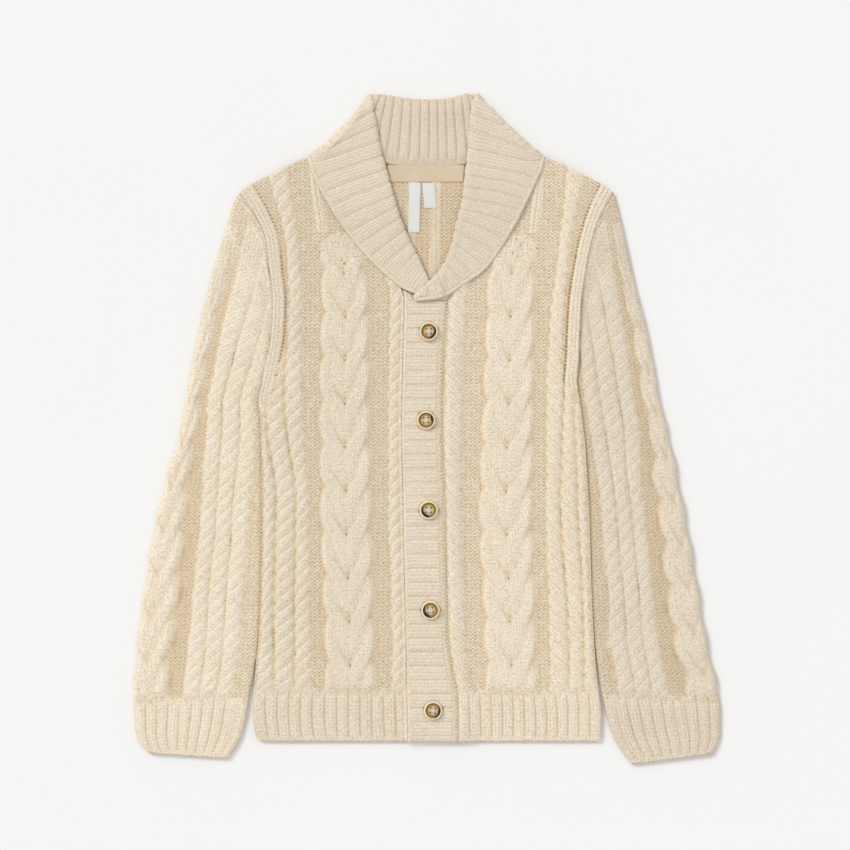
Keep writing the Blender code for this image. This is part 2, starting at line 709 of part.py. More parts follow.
def sleeve_plan(sleeve):
    """Rows of plan points with their knitting, from the armhole to the top of the cuff."""
    first_outer, first_inner = sleeve_outline(sleeve, 0.0)
    columns = sleeve_columns(0.0)
    shares = [0.0] + [share for _, share, _ in columns] + [1.0]
    arm_shares = [0.0] + armhole_columns() + [1.0]
    kinds = ["fold"] + [kind for kind, _, _ in columns] + ["fold"]
    leans = [0.0] + [lean for _, _, lean in columns] + [0.0]
    rows = []
    for step in range(CAP_ROWS):
        along = step / CAP_ROWS
        row = []
        for kind, lean, share, arm_share in zip(kinds, leans, shares, arm_shares):
            start = armhole_point(sleeve, arm_share)
            end = first_outer + (first_inner - first_outer) * share
            x, y = start + (end - start) * along
            if kind == "fold" and not share:
                bulge = smooth(y, sleeve["outer"]["y"], sleeve["outer"]["x"]) - x
            if step:
                x += bulge * (1 - share) ** 2 * math.sin(math.pi * along) ** 0.5
            row.append((kind, x, y, lean))
        rows.append(row)
    for step in range(ARM_ROWS + 1):
        along = step / ARM_ROWS
        outer, inner = sleeve_outline(sleeve, along)
        row = [("fold", *outer, 0.0)]
        for kind, share, lean in sleeve_columns(along):
            row.append((kind, *(outer + (inner - outer) * share), lean))
        row.append(("fold", *inner, 0.0))
        rows.append(row)
    return rows


def sleeve_section(points, row, twist, shown, climb):
    """Outer loop of a section: raised top, rounded folds and flat underside.

    Shown fades the relief in from the seams; twist fades a rope from a plain rib to a twist.
    """
    first, last = points[0], points[-1]
    slant = climb * ROPE_SHARE * math.dist(first[1:3], last[1:3]) * twist
    loop = [(first[1], first[2], FOLD_LOW), (first[1], first[2], SLEEVE_TOP - FOLD_LOW)]
    for i, (kind, x, y, lean) in enumerate(points[1:-1]):
        height, shift = 0.0, 0.0
        if kind == "side":
            height = -SIDE_DROP
        elif kind == "cable":
            height = cable_relief(lean, row) * max(twist, 0.5) * shown
        else:
            shift = slant * lean
        if kind == "rope":
            height = (rope_relief(row + i) * twist + ROPE_HEIGHT / 2 * (1 - twist)) * shown
        loop.append((x, y + shift, SLEEVE_TOP + height))
    loop += [(last[1], last[2], SLEEVE_TOP - FOLD_LOW), (last[1], last[2], FOLD_LOW)]
    for i in (-2, len(points) // 2, 1):
        loop.append((points[i][1], points[i][2], 0.0))
    return loop


def slit_section(points):
    """Inner loop of a section: the flat slit between the layers of a sleeve."""
    row = [points[i] for i in SLIT_POINTS]
    high = [(x, y, WALL + SLEEVE_SLIT) for x, y in row]
    return high + [(x, y, WALL) for x, y in reversed(row)]


def add_sleeve(sleeve, side, collection):
    """Sleeve: one flattened tube from the armhole to a ribbed cuff."""
    plan = sleeve_plan(sleeve)
    last = len(plan) - 1
    outer, inner = [], []
    for row, points in enumerate(plan):
        shown = ease(row, 1, CAP_ROWS - 2) * ease(row, last, last - 1)
        twist = ease(row, CAP_ROWS - 1, CAP_ROWS + 8) * ease(row, last, last - SLANT_FADE)
        outer.append(sleeve_section(points, row, twist, shown, sleeve["climb"]))
        if row % LINING_STEP == 0 or row < CAP_ROWS:
            inner.append(slit_section([(x, y) for _, x, y, _ in points]))
    outer += cuff_sections(sleeve)
    start, end = sleeve_outline(sleeve, 2.0)
    columns = [share for _, share, _ in sleeve_columns(1.0)]
    inner.append(slit_section([start + (end - start) * share for share in [0.0] + columns + [1.0]]))
    item = tube(f"sleeve_{side}", outer, inner, collection)
    give_material(item, f"wool_sleeve_{side}", WOOL, 0.95)


def cuff_sections(sleeve):
    """Outer loops of the cuff: two points a rib on top, flat underneath."""
    sections = []
    count = 2 * CUFF_RIBS
    for along, height in CUFF_LEVELS:
        outer, inner = sleeve_outline(sleeve, along)
        span = inner - outer
        loop = [(*outer, FOLD_LOW), (*outer, SLEEVE_TOP - FOLD_LOW)]
        for i in range(count + 1):
            x, y = outer + span * (SLEEVE_SIDE + (1 - 2 * SLEEVE_SIDE) * i / count)
            raised = height if i % 2 or height < 0 else 0.0
            loop.append((x, y, SLEEVE_TOP - SIDE_DROP + raised))
        loop += [(*inner, SLEEVE_TOP - FOLD_LOW), (*inner, FOLD_LOW)]
        for share in (1 - SLEEVE_SIDE, 0.5, SLEEVE_SIDE):
            loop.append((*(outer + span * share), 0.0))
        sections.append(loop)
    return sections


# ---------------------------------------------------------------- bands, tape and labels

def add_band_top(collection):
    """Buttonhole band: ribs run across it, its free edge is rolled."""
    count = int(round((BAND_TOP_Y - HEM_Y) / (BAND_RIB / 2)))
    base = FRONT_FLOOR + BAND_STEP
    outer, inner = [], []
    for row in range(count + 1):
        y = HEM_Y + (BAND_TOP_Y - HEM_Y) * row / count
        left, right = smooth(y, BAND["y"], BAND["left"]), smooth(y, BAND["y"], BAND["right"])
        end = row in (0, count)
        top = base + WALL - (END_DROP if end else 0.0)
        rib = RIB_HEIGHT if row % 2 and not end else 0.0
        outer.append([
            (left, y, base + EDGE_THICKNESS),
            (left + BAND_ROLL[0], y, top),
            (left + BAND_ROLL[1], y, top + rib),
            (right - BAND_ROLL[2], y, top + rib),
            (right, y, top - SIDE_DROP),
        ])
        if row % 4 == 0 or row == count:
            inset = LINING_INSET * ((row == 0) - (row == count))
            inner.append([(left + LINING_INSET, y + inset, base), (right - LINING_INSET, y + inset, base)])
    band = wall("band_top", outer, inner, collection)
    give_material(band, "wool_band_top", WOOL, 0.95)


def add_band_under(collection):
    """Button band of the left front, hidden under the other band."""
    outer, inner = [], []
    for y in np.linspace(HEM_Y, BAND_TOP_Y, UNDER_BAND_ROWS):
        left = smooth(y, BAND["y"], BAND["left"])
        right = min(smooth(y, BAND["y"], BAND["right"]) - 4, UNDER_BAND_RIGHT)
        outer.append([(left, y, FRONT_FLOOR + WALL), (right, y, FRONT_FLOOR + WALL)])
        inner.append([(left, y, FRONT_FLOOR), (right, y, FRONT_FLOOR)])
    band = wall("band_under", outer, inner, collection)
    give_material(band, "wool_band_under", WOOL, 0.95)


def panel_rows(corners_top, corners_low, y_span, steps):
    """Plan of a narrow strip that hangs from its top edge."""
    rows = []
    for k in range(steps + 1):
        share = k / steps
        y = y_span[0] + (y_span[1] - y_span[0]) * share
        left = corners_top[0] + (corners_low[0] - corners_top[0]) * share
        right = corners_top[1] + (corners_low[1] - corners_top[1]) * share
        rows.append([(left, y), ((left + right) / 2, y), (right, y)])
    return rows


def add_trim(name, rows, colour, roughness, collection):
    """Thin strip lying on the inside of the back panel."""
    def level(x, y, rise):
        return WALL + SEAM + rise + collar_lift(x, y, lead=TRIM_LEAD)
    top = [[(x, y, level(x, y, TRIM_WALL)) for x, y in row] for row in rows]
    low = [[(x, y, level(x, y, 0.0)) for x, y in row] for row in rows]
    item = wall(name, top, low, collection)
    give_material(item, f"{name}_cloth", colour, roughness)


# ---------------------------------------------------------------- collar

def collar_station(rib):
    """Values of the collar table at a place along the strip."""
    return {name: smooth(rib, COLLAR["rib"], COLLAR[name]) for name in COLLAR_COLUMNS[1:]}


def collar_level(x, y, turn, radius, on_right):
    """Point of a layer that lies a radius from the middle of the stack, turned over its edge."""
    side = 1 if on_right else -1
    angle = math.pi * turn
    middle = COLLAR_WALL / 2 + FALL_RADIUS
    lift = collar_lift(x, y, lead=COLLAR_LEAD)
    if on_right:
        lift = max(lift, band_lift(x, y), (BAND_STEP + COLLAR_LIFT) * crossing(x, y))
    drop = COLLAR_LIFT - lift
    reach = radius * math.sin(angle)
    z = middle + radius * math.cos(angle) - drop * max(0.0, math.cos(angle))
    return np.array((x + side * SHOULDER_OUT[0] * reach, y + SHOULDER_OUT[1] * reach, z))


def facing(turn, on_right):
    """Direction from the stand to the fall."""
    side = 1 if on_right else -1
    angle = math.pi * turn
    across = math.sin(angle)
    return np.array((side * SHOULDER_OUT[0] * across, SHOULDER_OUT[1] * across, math.cos(angle)))


def collar_section(rib, on_right):
    """Middle line of a section: point, outward direction and how much of a rib shows there."""
    v = collar_station(rib)
    seam = np.array((v["seam_x"], v["seam_y"]))
    roll = np.array((v["roll_x"], v["roll_y"]))
    bend = np.array((v["bend_x"], v["bend_y"]))
    edge = np.array((v["edge_x"], v["edge_y"]))
    out = (roll - seam) / np.linalg.norm(roll - seam) + (roll - bend) / np.linalg.norm(roll - bend)
    out /= np.linalg.norm(out)
    centre = roll - out * (LAYER_STEP / 2 + COLLAR_WALL / 2)
    roll_turn, bend_turn, edge_turn = v["roll_turn"], v["bend_turn"], v["edge_turn"]
    stand_shows = ease(roll_turn, 0.4, 1.0)
    points = []
    for share, shown in ((0.0, 0.0), (0.11, 0.0), (0.16, 1.0)):
        point = collar_level(*(seam + (centre - seam) * share), roll_turn, STAND_RADIUS, on_right)
        points.append((point, -facing(roll_turn, on_right), shown * stand_shows))
    start = collar_level(*centre, roll_turn, STAND_RADIUS, on_right)
    up = facing(roll_turn, on_right)
    away = np.array((out[0], out[1], 0.0))
    half = LAYER_STEP / 2
    for degrees in (0, 60, 120, 180):
        angle = math.radians(degrees)
        point = start + away * half * math.sin(angle) + up * half * (1 - math.cos(angle))
        shown = stand_shows if degrees < 90 else fall_shows(roll_turn)
        points.append((point, away * math.sin(angle) - up * math.cos(angle), shown))
    spread = (edge - roll) / np.linalg.norm(edge - roll) * BEND_SPREAD * (1 - abs(edge_turn - bend_turn))
    stops = [((centre + bend) / 2, (roll_turn + bend_turn) / 2)]
    for share in (0.0, 1 / 3, 2 / 3, 1.0):
        stops.append((bend + spread * (share - 0.5), bend_turn + (edge_turn - bend_turn) * share))
    for share in (0.85, 1.0):
        stops.append((bend + (edge - bend) * share, edge_turn))
    for plan, turn in stops:
        point = collar_level(*plan, turn, FALL_RADIUS, on_right)
        points.append((point, facing(turn, on_right), fall_shows(turn)))
    return points


def fall_shows(turn):
    """How much of a rib the fall carries: none where it lies on the floor."""
    return ease(turn, 0.9, 0.4)


def add_collar(collection):
    """Shawl collar: a folded strip with ribs across it, raised on the side that shows."""
    last_rib = COLLAR["rib"][-1]
    half_ribs = int(2 * last_rib)
    outer, inner = [], []
    for k in range(half_ribs + 1):
        rib = last_rib * k / half_ribs
        on_right = rib > COLLAR["rib"][-1] * 0.49
        section = collar_section(rib, on_right)
        high = k % 2 == 1 and 0 < k < half_ribs
        row = []
        for i, (point, normal, shown) in enumerate(section):
            half = COLLAR_WALL / 2 - (COLLAR_EDGE_DROP if i == len(section) - 1 else 0.0)
            rise = RIB_HEIGHT * shown if high else 0.0
            if not on_right:
                rise *= 1 - crossing(point[0] - CROSSING_MARGIN, point[1] - CROSSING_MARGIN)
            row.append(point + normal * (half + rise))
        outer.append(row)
        at_corner = any(start <= rib <= end for start, end in COLLAR_CORNERS)
        if k % LINING_STEP == 0 or k == half_ribs or at_corner:
            inner.append([section[i][0] - section[i][1] * (COLLAR_WALL / 2) for i in COLLAR_LINING])
    collar = wall("collar", outer, inner, collection)
    give_material(collar, "wool_collar", WOOL, 0.95)


# ---------------------------------------------------------------- buttons

def button_profile():
    """Half section of a button at +X, from the middle of its dish round to its underside."""
    r, h = BUTTON_RADIUS, BUTTON_HEIGHT
    return [(0.0, h - 1.5), (r * 0.62, h - 1.4), (r * 0.86, h), (r, h - 1.3), (r * 0.85, 0.0), (0.0, 0.0)]


def turned(name, profile, collection, steps=12):
    """Body turned round Z from a profile at +X that runs down its outer side."""
    mesh = bpy.data.meshes.new(name)
    mesh.from_pydata([(x * MM, 0.0, z * MM) for x, z in profile],
                     [(i, i + 1) for i in range(len(profile) - 1)], [])
    item = bpy.data.objects.new(name, mesh)
    collection.objects.link(item)
    screw = item.modifiers.new("turn", "SCREW")
    screw.steps = steps
    screw.render_steps = steps
    screw.use_merge_vertices = True
    screw.merge_threshold = 0.00005
    return item


def add_buttons(collection, cutters):
    """Five four-hole buttons on the band."""
    base = FRONT_FLOOR + BAND_STEP + WALL + RIB_HEIGHT + SEAM
    for number, (x, y) in enumerate(zip(BUTTONS["x"], BUTTONS["y"]), start=1):
        button = turned(f"button_{number}", button_profile(), collection)
        button.location = (x * MM, y * MM, base * MM)
        give_material(button, f"horn_{number}", HORN, 0.3)
        for hole in range(4):
            angle = math.radians(45 + 90 * hole)
            reach = BUTTON_HOLE_PITCH / math.sqrt(2)
            bpy.ops.mesh.primitive_cylinder_add(
                vertices=6, radius=BUTTON_HOLE_RADIUS * MM, depth=4 * BUTTON_HEIGHT * MM,
                location=((x + reach * math.cos(angle)) * MM, (y + reach * math.sin(angle)) * MM,
                          base * MM))
            cutter = bpy.context.object
            cutter.name = f"button_{number}_hole_{hole + 1}"
            for owner in list(cutter.users_collection):
                owner.objects.unlink(cutter)
            cutters.objects.link(cutter)
            cutter.hide_render = True
            cutter.display_type = "WIRE"
            cut = button.modifiers.new(f"hole_{hole + 1}", "BOOLEAN")
            cut.operation = "DIFFERENCE"
            cut.object = cutter


# ---------------------------------------------------------------- assembly

def main():
    for item in list(bpy.data.objects):
        bpy.data.objects.remove(item)
    parts = bpy.data.collections.new("shawl_collar_cardigan")
    cutters = bpy.data.collections.new("cutters")
    bpy.context.scene.collection.children.link(parts)
    bpy.context.scene.collection.children.link(cutters)

    add_back(parts)
    add_front("left", LANES_LEFT, LAPEL_LEFT, parts)
    add_front("right", LANES_RIGHT, LAPEL_RIGHT, parts)
    add_sleeve(SLEEVE_LEFT, "left", parts)
    add_sleeve(SLEEVE_RIGHT, "right", parts)
    add_band_under(parts)
    add_band_top(parts)
    add_collar(parts)
    tape_rows = panel_rows(TAPE["low"], TAPE["high"], TAPE["y"], 3)
    add_trim("neck_tape", tape_rows, TAPE_PEACH, 0.9, parts)
    for name, label in (("label_long", LABEL_LONG), ("label_short", LABEL_SHORT)):
        rows = panel_rows(label["top"], label["low"], label["y"], 6)
        add_trim(name, rows, LABEL_WHITE, 0.5, parts)
    add_buttons(parts, cutters)


main()
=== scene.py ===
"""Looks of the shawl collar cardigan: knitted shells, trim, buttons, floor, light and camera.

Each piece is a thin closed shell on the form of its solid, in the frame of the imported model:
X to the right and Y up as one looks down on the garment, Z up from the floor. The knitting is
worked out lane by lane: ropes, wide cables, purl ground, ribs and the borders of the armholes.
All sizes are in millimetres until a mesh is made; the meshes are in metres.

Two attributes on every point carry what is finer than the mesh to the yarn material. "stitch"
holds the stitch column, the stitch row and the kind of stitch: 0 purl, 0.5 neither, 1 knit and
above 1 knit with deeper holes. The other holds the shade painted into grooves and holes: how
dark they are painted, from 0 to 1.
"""

import math

import bmesh
import bpy
import numpy as np
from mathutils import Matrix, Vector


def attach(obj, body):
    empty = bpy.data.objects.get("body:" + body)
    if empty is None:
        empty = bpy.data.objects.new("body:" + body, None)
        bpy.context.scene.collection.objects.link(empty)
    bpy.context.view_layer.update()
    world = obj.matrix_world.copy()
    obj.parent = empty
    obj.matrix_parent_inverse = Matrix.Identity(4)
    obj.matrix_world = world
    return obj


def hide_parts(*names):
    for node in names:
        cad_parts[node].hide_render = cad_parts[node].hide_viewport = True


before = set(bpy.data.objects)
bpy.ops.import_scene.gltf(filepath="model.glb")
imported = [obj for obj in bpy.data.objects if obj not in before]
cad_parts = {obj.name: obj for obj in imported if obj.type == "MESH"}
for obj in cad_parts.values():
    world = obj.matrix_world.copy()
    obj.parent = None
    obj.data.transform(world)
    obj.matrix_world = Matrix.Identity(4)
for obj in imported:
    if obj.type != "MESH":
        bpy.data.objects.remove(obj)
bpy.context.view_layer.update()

MM = 0.001
TURN = 2 * math.pi


def table(columns, *rows):
    """Named columns of numbers from rows of equal length."""
    return {name: np.array(values, float) for name, values in zip(columns, zip(*rows))}


# Walls and the levels of the layers, as in the solids. A shell starts a little above its floor.
WALL = 3.0
SEAM = 0.3
SEWN = 0.04
NECK_EASE = 0.8
COLLAR_WALL = 2.6
TRIM_WALL = 1.0
SLEEVE_SLIT = 0.6
EDGE_FOOT = 0.5
BACK_FOOT = 0.6

FRONT_FLOOR = WALL + SEAM
BAND_STEP = WALL + SEAM
COLLAR_LIFT = COLLAR_WALL + SEAM
SLEEVE_TOP = 2 * WALL + SLEEVE_SLIT
BAND_BASE = FRONT_FLOOR + BAND_STEP

# Ramp of the panels over the fall under the back of the neck.
RAMP_START = 60.0
RAMP_END = 3.0
LIFT_FADE = (200.0, 145.0)
TRIM_LEAD = 5.0
FRONT_LEAD = 14.0
COLLAR_LEAD = 26.0

# Collar layers.
LAYER_STEP = COLLAR_WALL + 0.7
STAND_RADIUS = COLLAR_LIFT / 2
FALL_RADIUS = STAND_RADIUS + LAYER_STEP
BEND_SPREAD = 12.0
SHOULDER_OUT = (0.71, 0.70)

# How edges are rounded off: radius, then for sewn ones the share of the height that stays.
ARMHOLE_EDGE = (2.5, 0.86)
SHOULDER_EDGE = (2.5, 0.6)
BAND_SEAM_EDGE = (0.8, 0.92)
BAND_FREE_EDGE = (1.8, 0.62)
BAND_HEAD_EDGE = (0.8, 0.85)
HEM_ROUND = 4.0
BACK_ROUND = 3.0
FOLD_ROUND = 7.0
UNDERARM_ROUND = 5.5
LOW_ROUND = 6.0
CUFF_ROUND = 3.5
COLLAR_ROUND = 2.2

# Spacing of the grids; the tight rows are the distances of the first points from an edge.
FINE = 1.5
BACK_FINE = 3.0
BACK_YOKE_FINE = 2.5
TIGHT = (0.0, 0.35, 0.9, 1.7, 2.8)
TIGHT_FOLD = (0.0, 0.15, 0.5, 1.1, 1.9, 2.9, 4.2)
TIGHT_TRIM = (0.0, 0.3, 0.8)
FRONT_SPAN = 165.0
BACK_SPAN = 390.0
BODY_SPAN = 560.0
YOKE_SPAN = 110.0
SLEEVE_SPAN = 118.0
CUFF_SPAN = 70.0
ARM_ROWS = 226
CAP_ROWS = 100
CAP_FIRST_ROWS = (0.0, 0.0012, 0.004)

# Knitting: size of a stitch, and the jump in stitches that shows where two lanes meet.
STITCH = (5.6, 4.2)
LANE_JUMP = (1.3, 2.2)
# Ropes: repeat, height and slant of their strands, run of one turn, and their scalloped sides.
ROPE_REPEAT = 16.7
ROPE_HEIGHT = 2.5
ROPE_SLANT = 22.0
ROPE_RUN = 16.0
ROPE_STITCHES = 3
ROPE_SCALLOP = 1.9
ROPE_MARGIN = 1.2
ROPE_GROOVE = 0.10
# Wide cables: repeat and height, how far their sides bulge, the heights between which they
# fade in, how much higher the fade is at their sides, and how ragged their end is.
CABLE_REPEAT = 50.1
CABLE_HEIGHT = 3.6
CABLE_BULGE = 4.6
CABLE_FADE = (236.0, 176.0)
CABLE_ARCH = 12.0
CABLE_PHASE = 17.3
RAGGED = 0.12
# Deeper holes where a lane fades into the ground.
DEEP_KIND = 0.5
DEEP_FADE = (0.95, 0.4)
# Ribs of the band and the collar, then those of the hem and the cuffs: how much further their
# valleys reach than they do, how dark these are, and the rolled free edge below them.
RIB_HEIGHT = 1.5
HEM_RIB_HEIGHT = 1.05
HEM_RIB_KIND = 1.15
VALLEY_LEAD = 7.0
VALLEY_SHADE = 0.34
FREE_EDGE = (2.0, 7.0)
FREE_ROLL = (7.0, 3.0)
FREE_ROLL_HEIGHT = 0.5
RIB_STITCHES = 3.0
# Borders of the armholes: knit columns, then holes beside them and a fainter row of holes, all
# sunk and painted dark as shade.
BORDER_HEIGHT = 1.5
BORDER_COLUMN = 4.3
BORDER_HOLES = 14.8
BORDER_FAINT = 4.4
BORDER_PITCH = 4.1
BORDER_KIND = 1.3
HOLE_DEPTH = 0.8
# Small holes beside the ropes, painted dark as shade: how dark on average and how far that wanders.
FRONT_DOTS = (0.14, 0.36)
SLEEVE_DOTS = (0.28, 0.5)
# Knit columns above the outer side of each wide cable.
STRAP_WIDTH = 4.6
STRAP_Y = (220.0, 234.0)
STRAP_HEIGHT = 1.1

# Path of the groove below a strand of the wide cable, from the outline (0) to the middle line
# (1) of its half: how far it has dropped. It falls steeply between the two columns.
GROOVE = table(("across", "drop"), (0, -3), (0.08, 0), (0.25, 5), (0.40, 10.5), (0.46, 15),
               (0.50, 24), (0.54, 34), (0.62, 39), (0.80, 47), (1, 54))
GROOVE_STEEP = (24.0, 0.21)
# Holes painted dark as shade above each tip of the middle line: how far above it and how strong.
TIP_HOLES = ((0.0, 1.0), (6.5, 0.75), (14.5, 0.65))
# Strength of the shade painted into the outer and into the middle groove on the lit and on the
# shaded half.
LIT_GROOVES = (0.16, 0.36)
SHADED_GROOVES = (0.36, 0.18)

# Main lines of the body.
HEM_Y = -360.0
RIB_TOP_Y = -306.0
YOKE_Y = 200.0
NECKLINE_START = 148
SHOULDER_TIP = 214.5
NECK_POINT = (92.0, 328.0)
BAND_END_Y = 146.9
HEM_RIBS = 13
CUFF_RIBS = 10

# Side seams up to the underarms, then the armhole seams up to the shoulder tips.
BODY_EDGE = table(
    ("y", "left", "right"),
    (-360, -191.5, 196), (-356, -195, 199), (-348, -198, 200), (-325, -200, 200.5),
    (-300, -199, 197), (-270, -197, 194),
    (-240, -194, 192), (-170, -191, 189), (-100, -190, 187), (-30, -191, 183), (10, -192, 179),
    (34, -194, 175.5), (56, -189, 172.5), (80, -184, 174.5), (115, -178.5, 176), (148, -177.5, 178),
    (183, -181, 183), (217, -185, 190), (246, -198, 200), (272, -215, 214))

# Buttoned edge: free edge on the left, seam with the right front on the right.
BAND = table(
    ("y", "left", "right"),
    (-361, -22, 37), (-305, -23, 36), (-285, -23.5, 31), (-243, -24, 25), (-150, -26, 22),
    (-90, -27, 21), (10, -29, 18), (60, -28, 19), (150, -26, 23.5), (161, -28.4, 24))
# Upper end of the buttonhole band, tucked under the lapels.
BAND_HEAD = table(("x", "y"), (-27.5, 159.4), (-22, 157.2), (-18.2, 154.0), (-16.6, 150.0),
                  (-14, 149.8), (-8, 149.3), (-2, 148.6), (2, 147.8), (4.5, 147.5), (7, 147.9),
                  (9.5, 148.0), (13, 147.7), (18, 147.3), (24, 146.8))
# Ribs across the band, its seam stitches and the spans of its grid.
BAND_RIB = 16.15
BAND_PHASE = 18.4
BAND_STITCH = 4.7
BAND_SEAM = 3.0
BAND_SPAN = 505.5
BAND_FINE = 1.15
BAND_WIDE_SPAN = 52.0

# Front neckline, shoulder seam and back neckline.
NECKLINE = table(("y", "reach"), (147.5, 25.5), (161, 30), (186, 38), (209, 47), (239, 58),
                 (272, 71), (299, 80), (313, 85), (328, 92))
SHOULDER = table(("reach", "y"), (92, 328), (115, 318), (130, 311.5), (140, 310.5), (150, 307),
                 (169, 298), (209, 277), (215, 272))
BACK_NECK = table(("reach", "y"), (0, 298), (25, 299), (48, 303), (75, 317), (92, 328))

# Lower ends of the lapels over the fronts.
LAPEL = {
    "left": table(("x", "y"), (-139, 320), (-134, 300), (-121, 271), (-102, 239), (-80, 210),
                  (-55, 183), (-26, 160), (8, 149)),
    "right": table(("x", "y"), (-12, 147), (14, 152), (42, 165), (68, 184), (91, 216),
                   (109, 248), (121, 273), (130, 305), (137, 322)),
}

# Knitting lanes of the fronts, from the side to the band.
LANE_NAMES = ("valley_cb", "valley_ba", "a_end", "cable_start", "cable_end", "band_rope")
LANES = {
    "left": table(
        ("y",) + LANE_NAMES,
        (-360, -176.5, -152.5, -131, -115, -59, -40), (-243, -176.5, -153, -133, -116, -61, -41),
        (-87, -174, -151.5, -135, -121, -64, -45), (33, -186.5, -164.5, -143, -122, -67, -46),
        (148, -168.5, -160.5, -143, -120, -67, -43), (200, -171, -162.5, -146, -121, -74, -56),
        (300, -204, -184.5, -159, -131, -106, -99)),
    "right": table(
        ("y",) + LANE_NAMES,
        (-360, 180, 162, 141, 126, 70, 52), (-243, 180, 162.5, 140, 125, 68, 46),
        (-87, 173.5, 154, 137, 121, 62, 41), (33, 170, 157, 137, 122, 66, 41),
        (148, 169, 160.5, 143, 123, 70, 47), (200, 176, 165, 150, 123, 74, 56),
        (300, 202.5, 184, 160, 131, 106, 99)),
}

# Ropes of a front: lanes of their borders, phase, and the heights between which they fade in.
ABOVE_ALL = (400, 399)
FRONT_ROPES = (("side", "valley_cb", 4, (30, 5)), ("valley_cb", "valley_ba", 0, (90, 60)),
               ("valley_ba", "a_end", 8, ABOVE_ALL), ("band_rope", "band", 4, ABOVE_ALL))
BAND_SIDE_FILL = 3.1

# Sleeves: outline over height; climb is 1 where ropes climb towards the body, -1 away from it.
SLEEVES = {
    "left": {
        "sign": -1, "climb": 1, "underarm_y": 34.0, "cuff_y": (-310.0, -308.0),
        "end_y": (-373.0, -379.0), "bulge_at": -177.0, "cable_at": -2.5, "seam_shade": 0.22,
        "cuff_drop": 6.0,
        "outer": table(("y", "x"), (272, -215.4), (267, -219), (257, -223.5), (238, -229),
                       (206, -239), (160, -252), (108, -264),
                       (51, -275), (-1, -284), (-47, -296), (-99, -309), (-151, -319), (-197, -326),
                       (-266, -334), (-310, -337), (-345, -336), (-362, -331), (-373, -321)),
        "inner": table(("y", "x"), (-266, -197.3), (-290, -201), (-309, -205), (-325, -207),
                       (-354, -214), (-379, -229)),
    },
    "right": {
        "sign": 1, "climb": -1, "underarm_y": 56.0, "cuff_y": (-305.0, -300.0),
        "end_y": (-374.0, -386.0), "bulge_at": -245.0, "cable_at": 35.4, "seam_shade": 0.75,
        "cuff_drop": 11.0,
        "outer": table(("y", "x"), (271, 214.6), (266, 217), (252, 220.5), (206, 231), (160, 241),
                       (114, 253),
                       (68, 262), (22, 270), (-24, 281), (-70, 290), (-116, 299), (-162, 307),
                       (-204, 314), (-250, 322), (-296, 333), (-325, 338), (-350, 338), (-374, 330)),
        "inner": table(("y", "x"), (-250, 193.4), (-270, 196), (-292, 199), (-319, 204),
                       (-339, 209), (-360, 217), (-386, 235)),
    },
}
# Lanes of a sleeve as shares of its width from the fold to the underarm, and where the same
# lanes meet the armhole, as shares of its height from the shoulder tip.
SLEEVE_LANES = ("fold", "cable_end", "rope_1", "rope_2", "rope_3", "rope_end", "underarm")
SLEEVE_SHARES = table(
    ("along",) + SLEEVE_LANES,
    (0.0, 0, 0.195, 0.30, 0.50, 0.74, 0.94, 1),
    (0.13, 0, 0.20, 0.33, 0.52, 0.745, 0.94, 1),
    (0.33, 0, 0.24, 0.40, 0.56, 0.72, 0.89, 1),
    (0.67, 0, 0.275, 0.424, 0.56, 0.705, 0.85, 1),
    (1.0, 0, 0.265, 0.425, 0.565, 0.71, 0.855, 1))
LANE_KNOTS = np.array([SLEEVE_SHARES[name][0] for name in SLEEVE_LANES])
ARMHOLE = {"lane": LANE_KNOTS, "share": np.array((0, 0.05, 0.10, 0.27, 0.50, 0.80, 1))}
ARMHOLE_TIP_Y = 271.0
# The wide cable wraps round the fold: the share of its width that is past the outline.
CABLE_PAST_FOLD = 0.22
SLEEVE_BULGE = 2.4
# The three ropes of a sleeve: how far each is ahead of the last, and their share of the height.
SLEEVE_ROPE_STEP = 5
SLEEVE_ROPE_HEIGHT = 0.86
# Heights between which the shade beside the body is drawn, and the corners of the slit inside.
SEAM_SHADE_TOP = (200, 150)
SEAM_SHADE_END = (-300, -230)
SLIT_AT = (0.06, 0.35, 0.65, 0.94)

